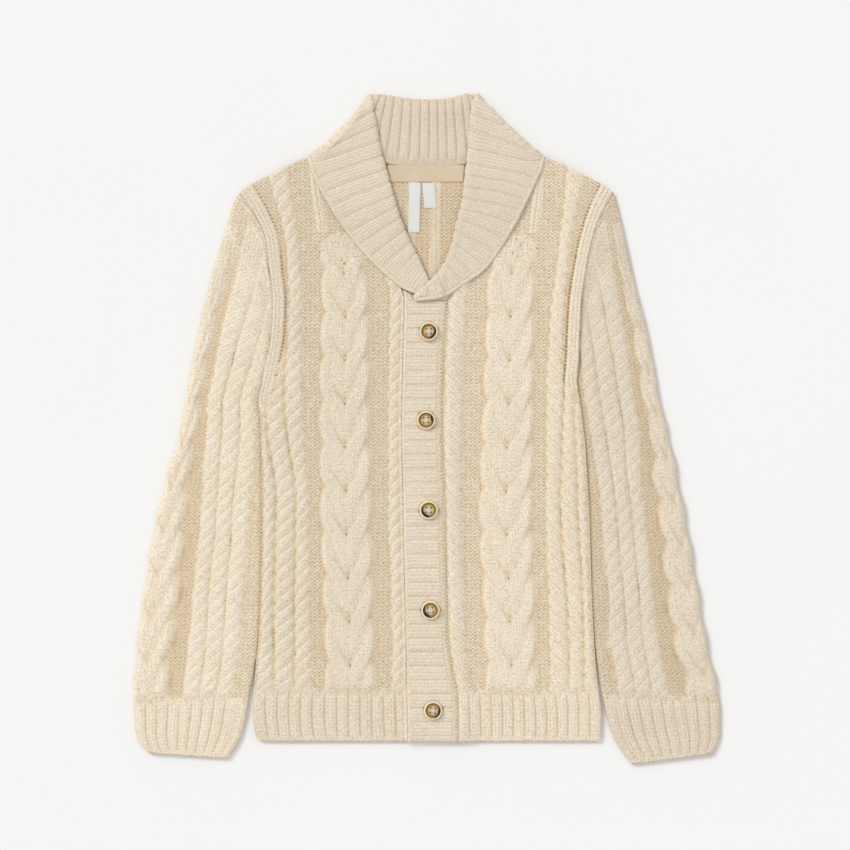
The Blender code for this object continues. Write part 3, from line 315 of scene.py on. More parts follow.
# Collar stations along the strip: rib, seam, roll, bend over the shoulder edge and free edge;
# the turns are 0 on top and 1 underneath.
COLLAR_COLUMNS = ("rib", "seam_x", "seam_y", "roll_x", "roll_y", "bend_x", "bend_y",
                  "edge_x", "edge_y", "roll_turn", "bend_turn", "edge_turn")
COLLAR = table(
    COLLAR_COLUMNS,
    (0, -24.5, 146.1, 13, 150.5, 9, 149.5, 4, 148, 0, 0, 0),
    (1.5, -29, 161, -5, 188, -17, 172, -26, 160, 0, 0, 0),
    (3.5, -37, 186, -19, 215, -39, 197, -55, 183, 0, 0, 0),
    (5.5, -46, 209, -31, 243, -58, 225, -80, 210, 0, 0, 0),
    (7.5, -57, 239, -39, 269, -74, 253, -102, 239, 0, 0, 0),
    (9.5, -70, 272, -47, 299, -88, 284, -121, 271, 0, 0, 0),
    (10.5, -75, 286, -51.5, 314, -110, 294, -129, 285, 0, 0, 0),
    (11.3, -79, 299, -54.5, 328, -122, 304, -133.3, 299, 0, 0, 0.1),
    (11.7, -80.7, 304, -55.8, 334, -125.5, 310, -134, 306, 0, 0, 0.3),
    (12.1, -82.3, 309.5, -57, 341, -124.5, 314.5, -132.5, 310, 0, 0, 0.6),
    (12.5, -83.7, 315, -58, 348.5, -117, 320.5, -127, 310, 0, 0, 0.9),
    (13, -85.5, 319, -59.5, 357, -100.3, 336, -117, 305, 0, 0, 1),
    (13.5, -86.8, 323.5, -61.5, 365.5, -85.3, 351, -107, 302, 0, 0, 1),
    (14, -87.6, 327.5, -60.5, 374, -75, 362.4, -103, 300, 0.1, 0.15, 1),
    (14.6, -88, 330, -62.5, 382, -68.7, 371.6, -98, 298, 0.5, 0.8, 1),
    (15.6, -83.5, 326, -56, 385, -64, 345, -82, 295, 1, 1, 1),
    (17, -62, 311, -46, 384, -52, 340, -60, 290, 1, 1, 1),
    (19.5, -27, 300, -22, 380.5, -24, 335, -28, 285, 1, 1, 1),
    (22, 3, 298.8, 3, 379, 3, 334, 3, 284, 1, 1, 1),
    (24.5, 30, 300.4, 26, 381, 28, 335, 32, 285, 1, 1, 1),
    (26.8, 60, 310.5, 46, 386, 51, 340, 60, 290, 1, 1, 1),
    (27.8, 83.5, 326, 50, 385, 59, 345, 82, 295, 1, 1, 1),
    (28.8, 88, 330, 54, 382.5, 62.2, 372, 98, 298, 0.5, 0.8, 1),
    (29.5, 87.6, 327.5, 51.5, 372, 74.4, 359.4, 103, 300, 0.1, 0.15, 1),
    (30, 86.8, 323.5, 50.3, 363, 86, 349, 108, 302, 0, 0, 1),
    (30.5, 85.5, 319, 50, 354, 101, 334.5, 116, 304, 0, 0, 1),
    (31, 83.7, 315, 49, 344, 116.2, 321.2, 126, 311, 0, 0, 0.9),
    (31.4, 82.3, 309.5, 48.3, 336, 123, 315, 130.5, 310.5, 0, 0, 0.6),
    (31.8, 80.7, 304, 47.8, 327, 123.5, 309.5, 132, 306, 0, 0, 0.3),
    (32.3, 79, 298, 47, 317, 119, 301.5, 131.5, 297.5, 0, 0, 0.1),
    (33.1, 76, 289, 45.7, 304, 107, 292, 127, 286, 0, 0, 0),
    (34.1, 72.5, 279, 44, 290, 89, 283, 121, 273, 0, 0, 0),
    (36.1, 64, 257, 41, 264, 80, 256, 109, 248, 0, 0, 0),
    (38.1, 53.5, 229, 35, 240, 67, 228, 91, 216, 0, 0, 0),
    (40.1, 43.3, 202, 29, 214, 52, 197, 68, 184, 0, 0, 0),
    (42.1, 34.8, 179, 20, 191, 32, 176, 42, 165, 0, 0, 0),
    (43.4, 28.3, 156.5, 7, 173, 12, 158.5, 17, 150.2, 0, 0, 0),
    (44.3, 26, 151, -5, 162, -3.5, 152.5, -2, 147.0, 0, 0, 0),
    (45, 24, 147.2, -17, 150.5, -15, 148.4, -12.5, 146.6, 0, 0, 0))
COLLAR_MIDDLE = 22.05
COLLAR_RIB = 17.0
EDGE_ROLL = 4.8
STATIONS_PER_RIB = 14
# Steps between the points of a section, from the seam to the free edge.
COLLAR_STEPS = (2, 1, 6, 7, 2, 2, 2, 2, 4, 4, 4, 4, 2, 2, 2, 4, 5, 5)
# Where the right front rises onto the left band, and where the lapels cross.
BAND_LIFT_REACH = (26.0, 3.0)
BAND_LIFT_TOP = (215.0, 170.0)
CROSSING = {"x": (32.0, 15.0), "y": (192.0, 173.0)}

# Larger holes where the wide cables begin, sunk and painted dark as shade.
YOKE_HOLES = {
    "left": ((-126.5, 207), (-123.5, 204), (-127, 198), (-98, 194.5), (-95, 190.5), (-112, 226)),
    "right": ((103.3, 218.5), (108, 212), (103.3, 198), (99, 203), (127, 208), (88, 214)),
}

# Light knit lines on the inside of the back: where they are at a height, and how they lean.
BACK_LINES = (13.0, 7.6, -14.8, -19.6)
BACK_LINE_Y = 250
BACK_LINE_SLOPE = 0.03

# Trim inside the neck: left and right at the top, left and right at the low end, high and low.
TRIM = {
    "neck_tape": ((-46.0, 43.0), (-42.3, 41.8), (303.5, 284.0)),
    "label_long": ((-20.0, -7.0), (-22.0, -8.5), (283.4, 226.0)),
    "label_short": ((-5.5, 9.0), (-3.0, 11.0), (283.4, 254.0)),
}

# Buttons: centres, size, the directions of their dark sides, and the rings of their grid.
BUTTONS = table(("x", "y"), (2, 112), (-1, 10), (2, -93), (4, -208), (7, -323))
BUTTON_RADIUS = 10.7
BUTTON_HEIGHT = 4.2
BUTTON_DARK = (-30.0, 10.0, 215.0, 205.0, -20.0)
BUTTON_HOLE = 3.3
BUTTON_SIDES = 80
BUTTON_DISH_RINGS = 26
BUTTON_RIM_RINGS = (0.82, 0.85, 0.88, 0.92, 0.97, 1.0)
BUTTON_UNDER = ((1.0, 1.2), (0.97, 0.5), (0.85, 0.1), (0.6, 0.0), (0.0, 0.0))

# Yarn: its light colour, a darker tone of it and the painted shade of its deepest holes. Then
# how much lighter or darker it is painted on each piece for the light that falls there, how much
# its fibres vary and how clear its columns of stitches are.
CREAM = ((0.85, 0.735, 0.575), (0.78, 0.655, 0.49), (0.25, 0.155, 0.08))
# The same yarn painted darker for the inside of the back, as shade inside the neck.
SHADED_INSIDE_CREAM = ((0.80, 0.675, 0.505), (0.71, 0.58, 0.41), (0.20, 0.12, 0.06))
YARNS = {
    "front_left": (0.96, 0.65, 1.0),
    "front_right": (1.01, 0.65, 1.0),
    "sleeve_left": (1.04, 0.65, 1.0),
    "sleeve_right": (0.92, 0.65, 1.0),
    "band_top": (0.95, 0.5, 1.4),
    "collar": (0.925, 0.45, 1.6),
}
# Stitches in the material: scale of the noise by which they wander and jitter, and by which
# share of a stitch; the zigzag of a purl row and the slant of the legs of a V; how high purl
# bumps and fibres stand, as multiples of the depth of a stitch in metres.
WANDER = (110.0, 0.6)
JITTER = (430.0, 0.35)
PURL_SWING = 0.25
LEG_SLANT = 1.6
PURL_HEIGHT = 1.3
FIBRE_HEIGHT = 2.4
STITCH_DEPTH = 0.0006
# Tints of the yarn: the purl ground painted darker as shade in the recess, its lightest and
# darkest fibres, then the painted shade of its grooves and of its stitch holes.
PURL_SHADE_TINT = (0.935, 0.89, 0.815)
LIGHT_FIBRE_TINT = (1.16, 1.23, 1.36)
DARK_FIBRE_TINT = (0.76, 0.68, 0.58)
GROOVE_SHADE_TINT = (0.80, 0.67, 0.49)
HOLE_SHADE_TINT = (0.52, 0.42, 0.29)
TAPE_COLOURS = ((0.77, 0.62, 0.44), (0.69, 0.54, 0.37))
SATIN_COLOURS = ((0.93, 0.915, 0.88), (0.87, 0.85, 0.80))
RIM_COLOUR = (0.87, 0.81, 0.64)
THREAD_COLOUR = (0.82, 0.76, 0.68)

# Word that ends the name of each piece's object, by the material slot it is made with.
PIECE_WORD = {"wool": "knit", "wool_back": "knit", "button": "horn"}

# The picture: its width in pixels, the size of a pixel at the level of the knitting and the
# point of the garment's plan that lies in its middle.
IMAGE = 850
PIXEL = 1.15
VIEW_CENTRE = (-2.3, 4.6)
VIEW_LEVEL = 7.0
LENS = 100.0
SENSOR = 36.0

# Studio: floor in metres, its two whites, the light of the room and a wide key light.
FLOOR_SIZE = 12.0
FLOOR_WHITES = ((0.915, 0.911, 0.900), (0.905, 0.901, 0.890))
ROOM_LIGHT = 0.74
KEY_LIGHT = 1.3
KEY_WIDTH = 20
KEY_DIRECTION = (0.8, -0.7, -0.95)


# ---------------------------------------------------------------- numbers and outlines

def ease(value, start, end):
    """0 before start, 1 past end, smooth between; start may be the larger."""
    share = np.clip((value - start) / (end - start), 0.0, 1.0)
    return share * share * (3 - 2 * share)


def bell(offset, width):
    """1 where the offset is 0, fading smoothly over the width."""
    return np.exp(-((offset / width) ** 2))


def from_whole(number):
    """Offset from the nearest whole number."""
    return (number + 0.5) % 1 - 0.5


def mix(a, b, share):
    """a at share 0, b at share 1."""
    return a + (b - a) * share


def stacked(*parts):
    """Points or attribute values from their parts."""
    return np.stack(np.broadcast_arrays(*parts), axis=-1)


def hermite(t, start, end, start_slope, end_slope):
    """Cubic from start to end as t goes from 0 to 1, with the given slopes."""
    return ((2 * t**3 - 3 * t**2 + 1) * start + (t**3 - 2 * t**2 + t) * start_slope
            + (3 * t**2 - 2 * t**3) * end + (t**3 - t**2) * end_slope)


def curve(value, rows, along, name):
    """Monotone cubic through two columns of a table, held past its ends."""
    xs, ys = rows[along], rows[name]
    if xs[0] > xs[-1]:
        xs, ys = xs[::-1], ys[::-1]
    steps = np.diff(ys) / np.diff(xs)
    a, b = steps[:-1], steps[1:]
    inner = np.where(a * b > 0, 2 * a * b / np.where(a + b == 0, 1, a + b), 0)
    slopes = np.concatenate((steps[:1], inner, steps[-1:]))
    value = np.clip(value, xs[0], xs[-1])
    i = np.clip(np.searchsorted(xs, value) - 1, 0, len(xs) - 2)
    width = xs[i + 1] - xs[i]
    return hermite((value - xs[i]) / width, ys[i], ys[i + 1], width * slopes[i], width * slopes[i + 1])


def rounded(distance, radius):
    """Quarter circle: 0 at an edge, 1 from one radius on."""
    share = np.clip(distance / radius, 0.0, 1.0)
    return np.sqrt(1 - (1 - share) ** 2)


def sewn(distance, radius, least):
    """Rounding of an edge that is sewn to the next piece and keeps part of its height."""
    return np.maximum(rounded(distance, radius), least)


def drift(x, y, scale, seed):
    """Slow uneven wander between -1 and 1."""
    total = 0.0
    for k in range(4):
        angle = 1.7 * seed + 2.4 * k
        wave = (x * math.cos(angle) + y * math.sin(angle)) / scale * (1 + 0.41 * k)
        total = total + np.sin(wave + 5.3 * seed + 1.9 * k)
    return total / 4


def spot(across, along, pitch, radius):
    """1 in the middle of dots that repeat along a line, 0 away from them."""
    return bell(across, radius) * bell(from_whole(along / pitch) * pitch, radius)


def spaced(length, step, tight=TIGHT):
    """Shares from 0 to 1 about one step apart, closer beside both ends."""
    ends = np.array(tight) / length
    count = int(round((length - 2 * tight[-1]) / step))
    middle = np.linspace(ends[-1], 1 - ends[-1], count + 1)
    return np.concatenate((ends[:-1], middle, 1 - ends[:-1][::-1]))


def travelled(points, axis):
    """Distance from the first point along rows of points."""
    steps = np.linalg.norm(np.diff(points, axis=axis), axis=-1)
    start = np.zeros_like(np.take(steps, [0], axis=axis))
    return np.concatenate((start, np.cumsum(steps, axis=axis)), axis=axis)


def unit(vectors):
    """Vectors brought to length 1."""
    return vectors / np.maximum(np.linalg.norm(vectors, axis=-1, keepdims=True), 1e-9)


def body_edge(y, side):
    return curve(y, BODY_EDGE, "y", side)


def neckline(y):
    return curve(y, NECKLINE, "y", "reach")


def band_edge(y, side):
    return curve(y, BAND, "y", side)


def shoulder_y(x):
    return curve(np.abs(x), SHOULDER, "reach", "y")


def panel_top_y(x):
    """Upper end of the back panel: shoulder seams with the neckline between them."""
    return np.where(np.abs(x) < NECK_POINT[0], curve(np.abs(x), BACK_NECK, "reach", "y"), shoulder_y(x))


def collar_lift(x, y, lead=0.0):
    """Rise of a panel over the fall that lies under the back of the neck."""
    fall_edge = 283 + 15 * np.minimum(np.abs(x) / 110, 1.1) ** 2
    beside = ease(np.abs(x) - lead, *LIFT_FADE)
    return COLLAR_LIFT * beside * ease(y + lead, fall_edge - RAMP_START, fall_edge - RAMP_END)


def band_lift(x, y):
    """Rise of the right front where its band lies on the band of the left front."""
    off = x - band_edge(y, "right")
    return BAND_STEP * ease(off, *BAND_LIFT_REACH) * ease(y, *BAND_LIFT_TOP)


def crossing(x, y):
    """1 where the right lapel lies on the end of the left one, 0 away from there."""
    return ease(x, *CROSSING["x"]) * ease(y, *CROSSING["y"])


# ---------------------------------------------------------------- meshes

def grid_faces(rows, columns, start=0, closed=False):
    """Quads of a grid of points numbered row by row."""
    index = start + np.arange(rows * columns).reshape(rows, columns)
    if closed:
        index = np.concatenate((index, index[:, :1]), axis=1)
    quads = np.stack((index[:-1, :-1], index[:-1, 1:], index[1:, 1:], index[1:, :-1]), axis=-1)
    return quads.reshape(-1, 4).tolist()


def zipped(points, first, second, closed):
    """Triangles between two rows of points, matched by the share of their length."""
    if closed:
        first, second = first + first[:1], second + second[:1]
    reached = []
    for row in (first, second):
        steps = np.linalg.norm(np.diff(points[row], axis=0), axis=1)
        reached.append(np.concatenate(([0.0], np.cumsum(steps))) / steps.sum())
    faces, i, j = [], 0, 0
    while i < len(first) - 1 or j < len(second) - 1:
        done = j == len(second) - 1
        if done or (i < len(first) - 1 and reached[0][i + 1] <= reached[1][j + 1]):
            faces.append((first[i], first[i + 1], second[j]))
            i += 1
        else:
            faces.append((first[i], second[j + 1], second[j]))
            j += 1
    return faces


def blurred(values, reach):
    """Mean over a square of grid neighbours."""
    for axis in (0, 1):
        turned = np.moveaxis(values, axis, 0)
        total = np.cumsum(np.pad(turned, ((reach + 1, reach), (0, 0)), mode="edge"), axis=0)
        width = 2 * reach + 1
        values = np.moveaxis((total[width:] - total[:-width]) / width, 0, axis)
    return values


def plain_stitch(points, kind=0.0):
    """Stitch attribute of plain cloth in the plane."""
    return stacked(points[..., 0] / STITCH[0], points[..., 1] / STITCH[1], kind)


def shell(outer, inner, stitch, painted_shade, tube=False, kind=0.0, dark=0.3):
    """Closed wall between an outer grid of points and a plainer inner one with as many rows.

    The rows of a tube are loops. kind is the stitch kind of the inner grid and dark the shade
    painted on it.
    """
    rows, columns = outer.shape[:2]
    count = inner.shape[1]
    start = rows * columns
    points = np.concatenate((outer.reshape(-1, 3), inner.reshape(-1, 3)))
    faces = grid_faces(rows, columns, 0, tube) + grid_faces(rows, count, start, tube)
    a = np.arange(start).reshape(rows, columns)
    b = start + np.arange(rows * count).reshape(rows, count)
    for column in () if tube else (0, -1):
        sides = (a[:-1, column], a[1:, column], b[1:, column], b[:-1, column])
        faces += np.stack(sides, axis=-1).tolist()
    for row in (0, -1):
        faces += zipped(points, a[row].tolist(), b[row].tolist(), tube)
    stitches = np.concatenate((stitch.reshape(-1, 3), plain_stitch(inner, kind).reshape(-1, 3)))
    return points, faces, stitches, np.concatenate((painted_shade.ravel(), np.full(rows * count, dark)))


def panel_shell(x, y, z, floor, stitch, painted_shade, kept=9):
    """Closed wall of a flat panel from its outer grid and the level of its plain inside."""
    chosen = np.unique(np.linspace(0, x.shape[1] - 1, kept).round().astype(int))
    inner = stacked(x[:, chosen], y[:, chosen], np.broadcast_to(floor, x.shape)[:, chosen])
    return shell(stacked(x, y, z), inner, stitch, painted_shade)


def make_piece(name, slot, materials, points, faces, stitch, painted_shade, face_slots=None):
    """Mesh in metres with its knitting attributes, which stands for the CAD node of its name."""
    mesh = bpy.data.meshes.new(name)
    mesh.from_pydata((points * MM).tolist(), [], faces)
    for item in materials:
        mesh.materials.append(item)
    if face_slots is not None:
        mesh.polygons.foreach_set("material_index", face_slots)
    bm = bmesh.new()
    bm.from_mesh(mesh)
    bmesh.ops.recalc_face_normals(bm, faces=bm.faces)
    bm.to_mesh(mesh)
    bm.free()
    mesh.polygons.foreach_set("use_smooth", np.ones(len(mesh.polygons), bool))
    vectors = mesh.attributes.new("stitch", "FLOAT_VECTOR", "POINT")
    vectors.data.foreach_set("vector", np.asarray(stitch, np.float32).ravel())
    values = mesh.attributes.new("painted_shade", "FLOAT", "POINT")
    values.data.foreach_set("value", np.asarray(painted_shade, np.float32).ravel())
    item = bpy.data.objects.new(f"{name}_{PIECE_WORD.get(slot, 'cloth')}", mesh)
    bpy.context.scene.collection.objects.link(item)
    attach(item, "root")
    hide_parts(name)
    return item


# ---------------------------------------------------------------- knitting

class Knit:
    """Height over the ground, painted shade and stitch attributes of a grid of points."""

    def __init__(self, x, y):
        self.height = np.zeros(x.shape)
        self.pit_shade = np.zeros(x.shape)
        self.column = x / STITCH[0]
        self.row = y / STITCH[1]
        self.kind = np.zeros(x.shape)

    def put(self, where, height, column, row, kind=1.0, pit_shade=0.0):
        """Knits one lane where the mask says so."""
        lane = {"height": height, "column": column, "row": row, "kind": kind, "pit_shade": pit_shade}
        for name, value in lane.items():
            setattr(self, name, np.where(where, value, getattr(self, name)))

    def paint_shade(self, pit_shade, depth=0.0):
        """Paints shade into holes or grooves, and sinks them."""
        self.pit_shade = np.maximum(self.pit_shade, pit_shade)
        self.height = self.height - depth

    def stitch(self):
        """Attribute values; stitches fade out (kind 0.5) where one lane meets another."""
        kind = self.kind.copy()
        for axis in (0, 1):
            apart = np.abs(np.diff(self.column, axis=axis)) > LANE_JUMP[0]
            apart |= np.abs(np.diff(self.row, axis=axis)) > LANE_JUMP[1]
            for side in (slice(None, -1), slice(1, None)):
                near = kind[side] if axis == 0 else kind[:, side]
                near[apart] = 0.5
        return stacked(self.column, self.row, kind)

    def painted_shade(self, reach=4, gain=0.4):
        """Painted shade: darker where the point lies lower than its surroundings, close by and more
        widely, plus the shade painted into holes and grooves.
        """
        dip = np.clip((blurred(self.height, reach) - self.height) * gain, 0.0, 1.0)
        wide = np.clip((blurred(self.height, 3 * reach) - self.height) * 0.35 * gain, 0.0, 0.3)
        return np.clip(np.minimum(dip + wide, 0.6) + self.pit_shade, 0.0, 1.0)


def rope(across, along, climb, twist, width):
    """Two-strand rope with scalloped sides: height, stitch column, stitch row, painted shade, mask."""
    across = np.clip(across, 0.0, 1.0)
    insets = []
    for end in (0.0, 1.0):
        w = ((along - climb * ROPE_SLANT * end) / ROPE_REPEAT) % 1
        scallop = ROPE_SCALLOP * twist * (2 * w - 1) ** 2
        insets.append((ROPE_MARGIN + scallop) / np.maximum(width, 4.0))
    inner = np.clip((across - insets[0]) / (1 - insets[0] - insets[1]), 0.0, 1.0)
    slant = across + 0.06 * np.sin(2 * np.pi * across)
    phase = (along - climb * ROPE_SLANT * slant) / ROPE_REPEAT
    crown = np.clip(1 - (2 * (phase % 1) - 1) ** 2, 0.0, 1.0)
    sides = np.clip(1 - np.abs(2 * inner - 1) ** 2.4, 0.0, 1.0) ** 0.55
    height = ROPE_HEIGHT * mix(0.6 * sides, sides * (0.32 + 0.68 * crown), twist)
    column = np.where(twist > 0.02, ROPE_STITCHES * phase, across * width / STITCH[0])
    length = math.hypot(ROPE_RUN, ROPE_SLANT)
    row = np.where(twist > 0.02, across * length, along) / STITCH[1]
    # Painted shade along the groove between the strands.
    groove = bell(from_whole(phase), ROPE_GROOVE) * sides * twist
    return height, column, row, 0.10 * groove, sides > 0


def knit_rope(knit, x, along, start, end, shown, climb=1, twist=1.0, height=1.0, kind=1.0):
    """Knits a rope between two borders given from the side towards the middle."""
    across = (x - start) / (end - start)
    rise, column, row, pit_shade, raised = rope(across, along, climb, twist, np.abs(end - start))
    where = (across > 0) & (across < 1) & (shown > 0) & raised
    knit.put(where, height * rise * shown, column, row, kind, pit_shade * shown)


def border_dots(knit, x, along, borders, shown, uneven):
    """Small holes along both borders of a rope, painted dark as shade."""
    for border in borders:
        knit.paint_shade(spot(x - border, along, STITCH[1], 1.5) * np.maximum(uneven, 0.0) * shown)


def deeper(shown):
    """Kind of the stitches of a lane, whose holes are deeper where it fades into the ground."""
    return 1 + DEEP_KIND * ease(shown, *DEEP_FADE)


def half_cable(across, along, width, valley, shadows, holes, notched):
    """Half of the wide cable; across runs from its outline (0) to its middle line (1).

    shadows are the strengths of the shade painted into the outer and into the middle groove, holes
    that of the shade painted into the holes and notched that of the notch on the middle line.
    """
    across = np.clip(across, 0.0, 1.0)
    warped = np.where(across < valley, across / valley * 0.5,
                      0.5 + (across - valley) / (1 - valley) * 0.5)
    w = (along + curve(warped, GROOVE, "across", "drop")) / CABLE_REPEAT % 1
    from_side, from_middle = across * width, (1 - across) * width
    inward = ease(warped, 0.30, 0.70)
    outer_column = 1 - 0.48 * ease(w, 0.40, 1.0)
    inner_column = 1 - 0.50 * ease(w, 0.60, 0.0)
    lower_edge = rounded(w, 0.18) * (1 - inward) + inward
    upper_edge = rounded(1 - w, 0.18) * inward + (1 - inward)
    off = np.abs(from_whole((along + GROOVE_STEEP[0]) / CABLE_REPEAT))
    valley_dip = bell((warped - 0.5) * width, 4.0) * ease(off, GROOVE_STEEP[1] + 0.08,
                                                         GROOVE_STEEP[1] - 0.08)
    tip = along + GROOVE["drop"][-1]
    from_tip = from_whole(tip / CABLE_REPEAT) * CABLE_REPEAT
    notch = notched * (0.12 + 0.3 * bell(from_tip - 5.0, 9.0))
    step = 0.62 + 0.38 * lower_edge * upper_edge
    strand = mix(outer_column, inner_column, inward) * mix(step, 1.0, 0.6 * valley_dip)
    strand = strand * (1 - 0.16 * valley_dip) * (1 - notch * bell(from_middle, 2.2))
    height = CABLE_HEIGHT * strand * mix(rounded(from_side, 4.6), ease(from_side, 0, 5), 0.6)
    centre = 0.25 + 0.5 * ease(w, 0.15, 0.55)
    column = (across - centre) * width / 3.5
    pits = 0.0
    for lift, size in TIP_HOLES:
        near = from_whole((tip - lift) / CABLE_REPEAT) * CABLE_REPEAT
        pits = pits + size * bell(near, 1.4) * bell(from_middle, 1.2)
    # Painted shade along the grooves below the strands and in the holes above each tip.
    edge = (shadows[0] * (1 - inward) * bell(w, 0.11) * ease(from_side, -2.0, 5.0)
            + shadows[1] * inward * bell(1 - w, 0.11))
    return height, column, edge * (1 - 0.9 * bell(warped - 0.5, 0.14)) + holes * pits


def knit_cable(knit, x, along, start, end, shown, holes=0.4, lit=1, outer=1.0):
    """Knits a wide cable between two borders, start at the side and end towards the middle.

    lit is -1 where x grows to the left in the picture, so that the shadows fall the same way;
    outer is the share of the shadows kept on the half at the side.
    """
    sign = np.sign(end - start)
    from_pinch = np.abs((along / CABLE_REPEAT + 0.5 - 1.0 / CABLE_REPEAT) % 1 * 2 - 1)
    inset = CABLE_BULGE * ((1 - from_pinch) ** 2.2 - 0.3)
    reach = np.abs(end - start) / 2 - inset
    offset = (x - (start + end) / 2) * sign
    ragged = shown + 0.10 * drift(x, along, 1.9, 6.0)
    for part, valley, kept in ((-1, 0.46, outer), (1, 0.54, 1.0)):
        shaded = part * sign * lit > 0
        shadows = [np.where(shaded, *pair) * kept for pair in zip(SHADED_GROOVES, LIT_GROOVES)]
        height, column, pit_shade = half_cable(1 - offset * part / reach, along, reach, valley, shadows,
                                         holes, 0.25 + 0.75 * min(holes / 0.15, 1.0))
        where = (np.abs(offset) < reach) & (offset * part >= 0) & (ragged > RAGGED)
        knit.put(where, height * shown, column + 40 * part, along / STITCH[1],
                 deeper(shown), pit_shade * ease(shown, 0.3, 0.9))


def knit_ribs(knit, across, count, along, top, base):
    """Knits ribs over a width given from 0 to 1; the narrow valleys reach higher than the ribs.

    top is where the ribs end above; base is the height over the free edge, which is rolled.
    """
    off = from_whole(across * count)
    valley = bell(off, 0.16)
    lead = VALLEY_LEAD * bell(off, 0.2)
    shown = ease(along, top + lead, top + lead - VALLEY_LEAD) * ease(base, *FREE_EDGE)
    knit.put(shown > 0, HEM_RIB_HEIGHT * (1 - valley) * shown, across * count * RIB_STITCHES,
             along / STITCH[1], HEM_RIB_KIND * ease(shown, 0.0, 0.5), VALLEY_SHADE * valley * shown)
    knit.height = knit.height + FREE_ROLL_HEIGHT * ease(base, *FREE_ROLL)


# ---------------------------------------------------------------- materials

class Value:
    """Output of a shader node, which can be calculated with like a number."""

    def __init__(self, recipe, socket):
        self.recipe, self.socket = recipe, socket

    def math(self, operation, *others):
        inputs = dict(enumerate((self, *others)))
        return self.recipe.add("ShaderNodeMath", 0, inputs, operation=operation)

    def __add__(self, other):
        return self.math("ADD", other)

    def __sub__(self, other):
        return self.math("SUBTRACT", other)

    def __rsub__(self, other):
        return self.math("MULTIPLY_ADD", -1.0, other)

    def __mul__(self, other):
        return self.math("MULTIPLY", other)


class Recipe:
    """Node tree of one material, with short calls for the nodes it uses."""

    def __init__(self, name, roughness, sheen=0.0):
        self.material = bpy.data.materials.new(name)
        self.material.use_nodes = True
        self.tree = self.material.node_tree
        self.shader = self.tree.nodes["Principled BSDF"]
        self.set_look({"Roughness": roughness, "Sheen Weight": sheen, "Sheen Roughness": 0.5})

    def set_look(self, inputs):
        self.feed(self.shader, inputs)

    def feed(self, node, inputs):
        """Sets the inputs of a node, which are constants or values."""
        for key, value in inputs.items():
            if isinstance(value, Value):
                self.tree.links.new(value.socket, node.inputs[key])
            else:
                node.inputs[key].default_value = value

    def add(self, kind, output, inputs=None, **settings):
        """Adds a node and returns one of its outputs."""
        node = self.tree.nodes.new(kind)
        for key, value in settings.items():
            setattr(node, key, value)
        self.feed(node, inputs or {})
        return Value(self, node.outputs[output])

    def ramp(self, value, low, high, to_low=0.0, to_high=1.0):
        inputs = {"Value": value, "From Min": low, "From Max": high, "To Min": to_low,
                  "To Max": to_high}
        return self.add("ShaderNodeMapRange", 0, inputs, interpolation_type="SMOOTHSTEP")

    def colour(self, share, low, high):
        """Blend of two colours; a constant colour is red, green and blue."""
        ends = [end if isinstance(end, Value) else (*end, 1.0) for end in (low, high)]
        return self.add("ShaderNodeMix", 2, {0: share, 6: ends[0], 7: ends[1]}, data_type="RGBA")

    def noise(self, scale, detail=2.0):
        inputs = {"Vector": self.position(), "Scale": scale, "Detail": detail}
        return self.add("ShaderNodeTexNoise", 0, inputs)

    def position(self):
        return self.add("ShaderNodeTexCoord", "Object")

    def attribute(self, name, output):
        return self.add("ShaderNodeAttribute", output, attribute_name=name)

    def split(self, vector):
        return [self.add("ShaderNodeSeparateXYZ", k, {0: vector}) for k in range(3)]

    def finish(self, colour, height, distance, strength=1.0):
        bump = {"Strength": strength, "Distance": distance, "Height": height}
        self.set_look({"Normal": self.add("ShaderNodeBump", 0, bump), "Base Color": colour})
        return self.material


def tinted(colour, tint):
    """Colour times a tint, at most white."""
    return tuple(min(1.0, c * t) for c, t in zip(colour, tint))


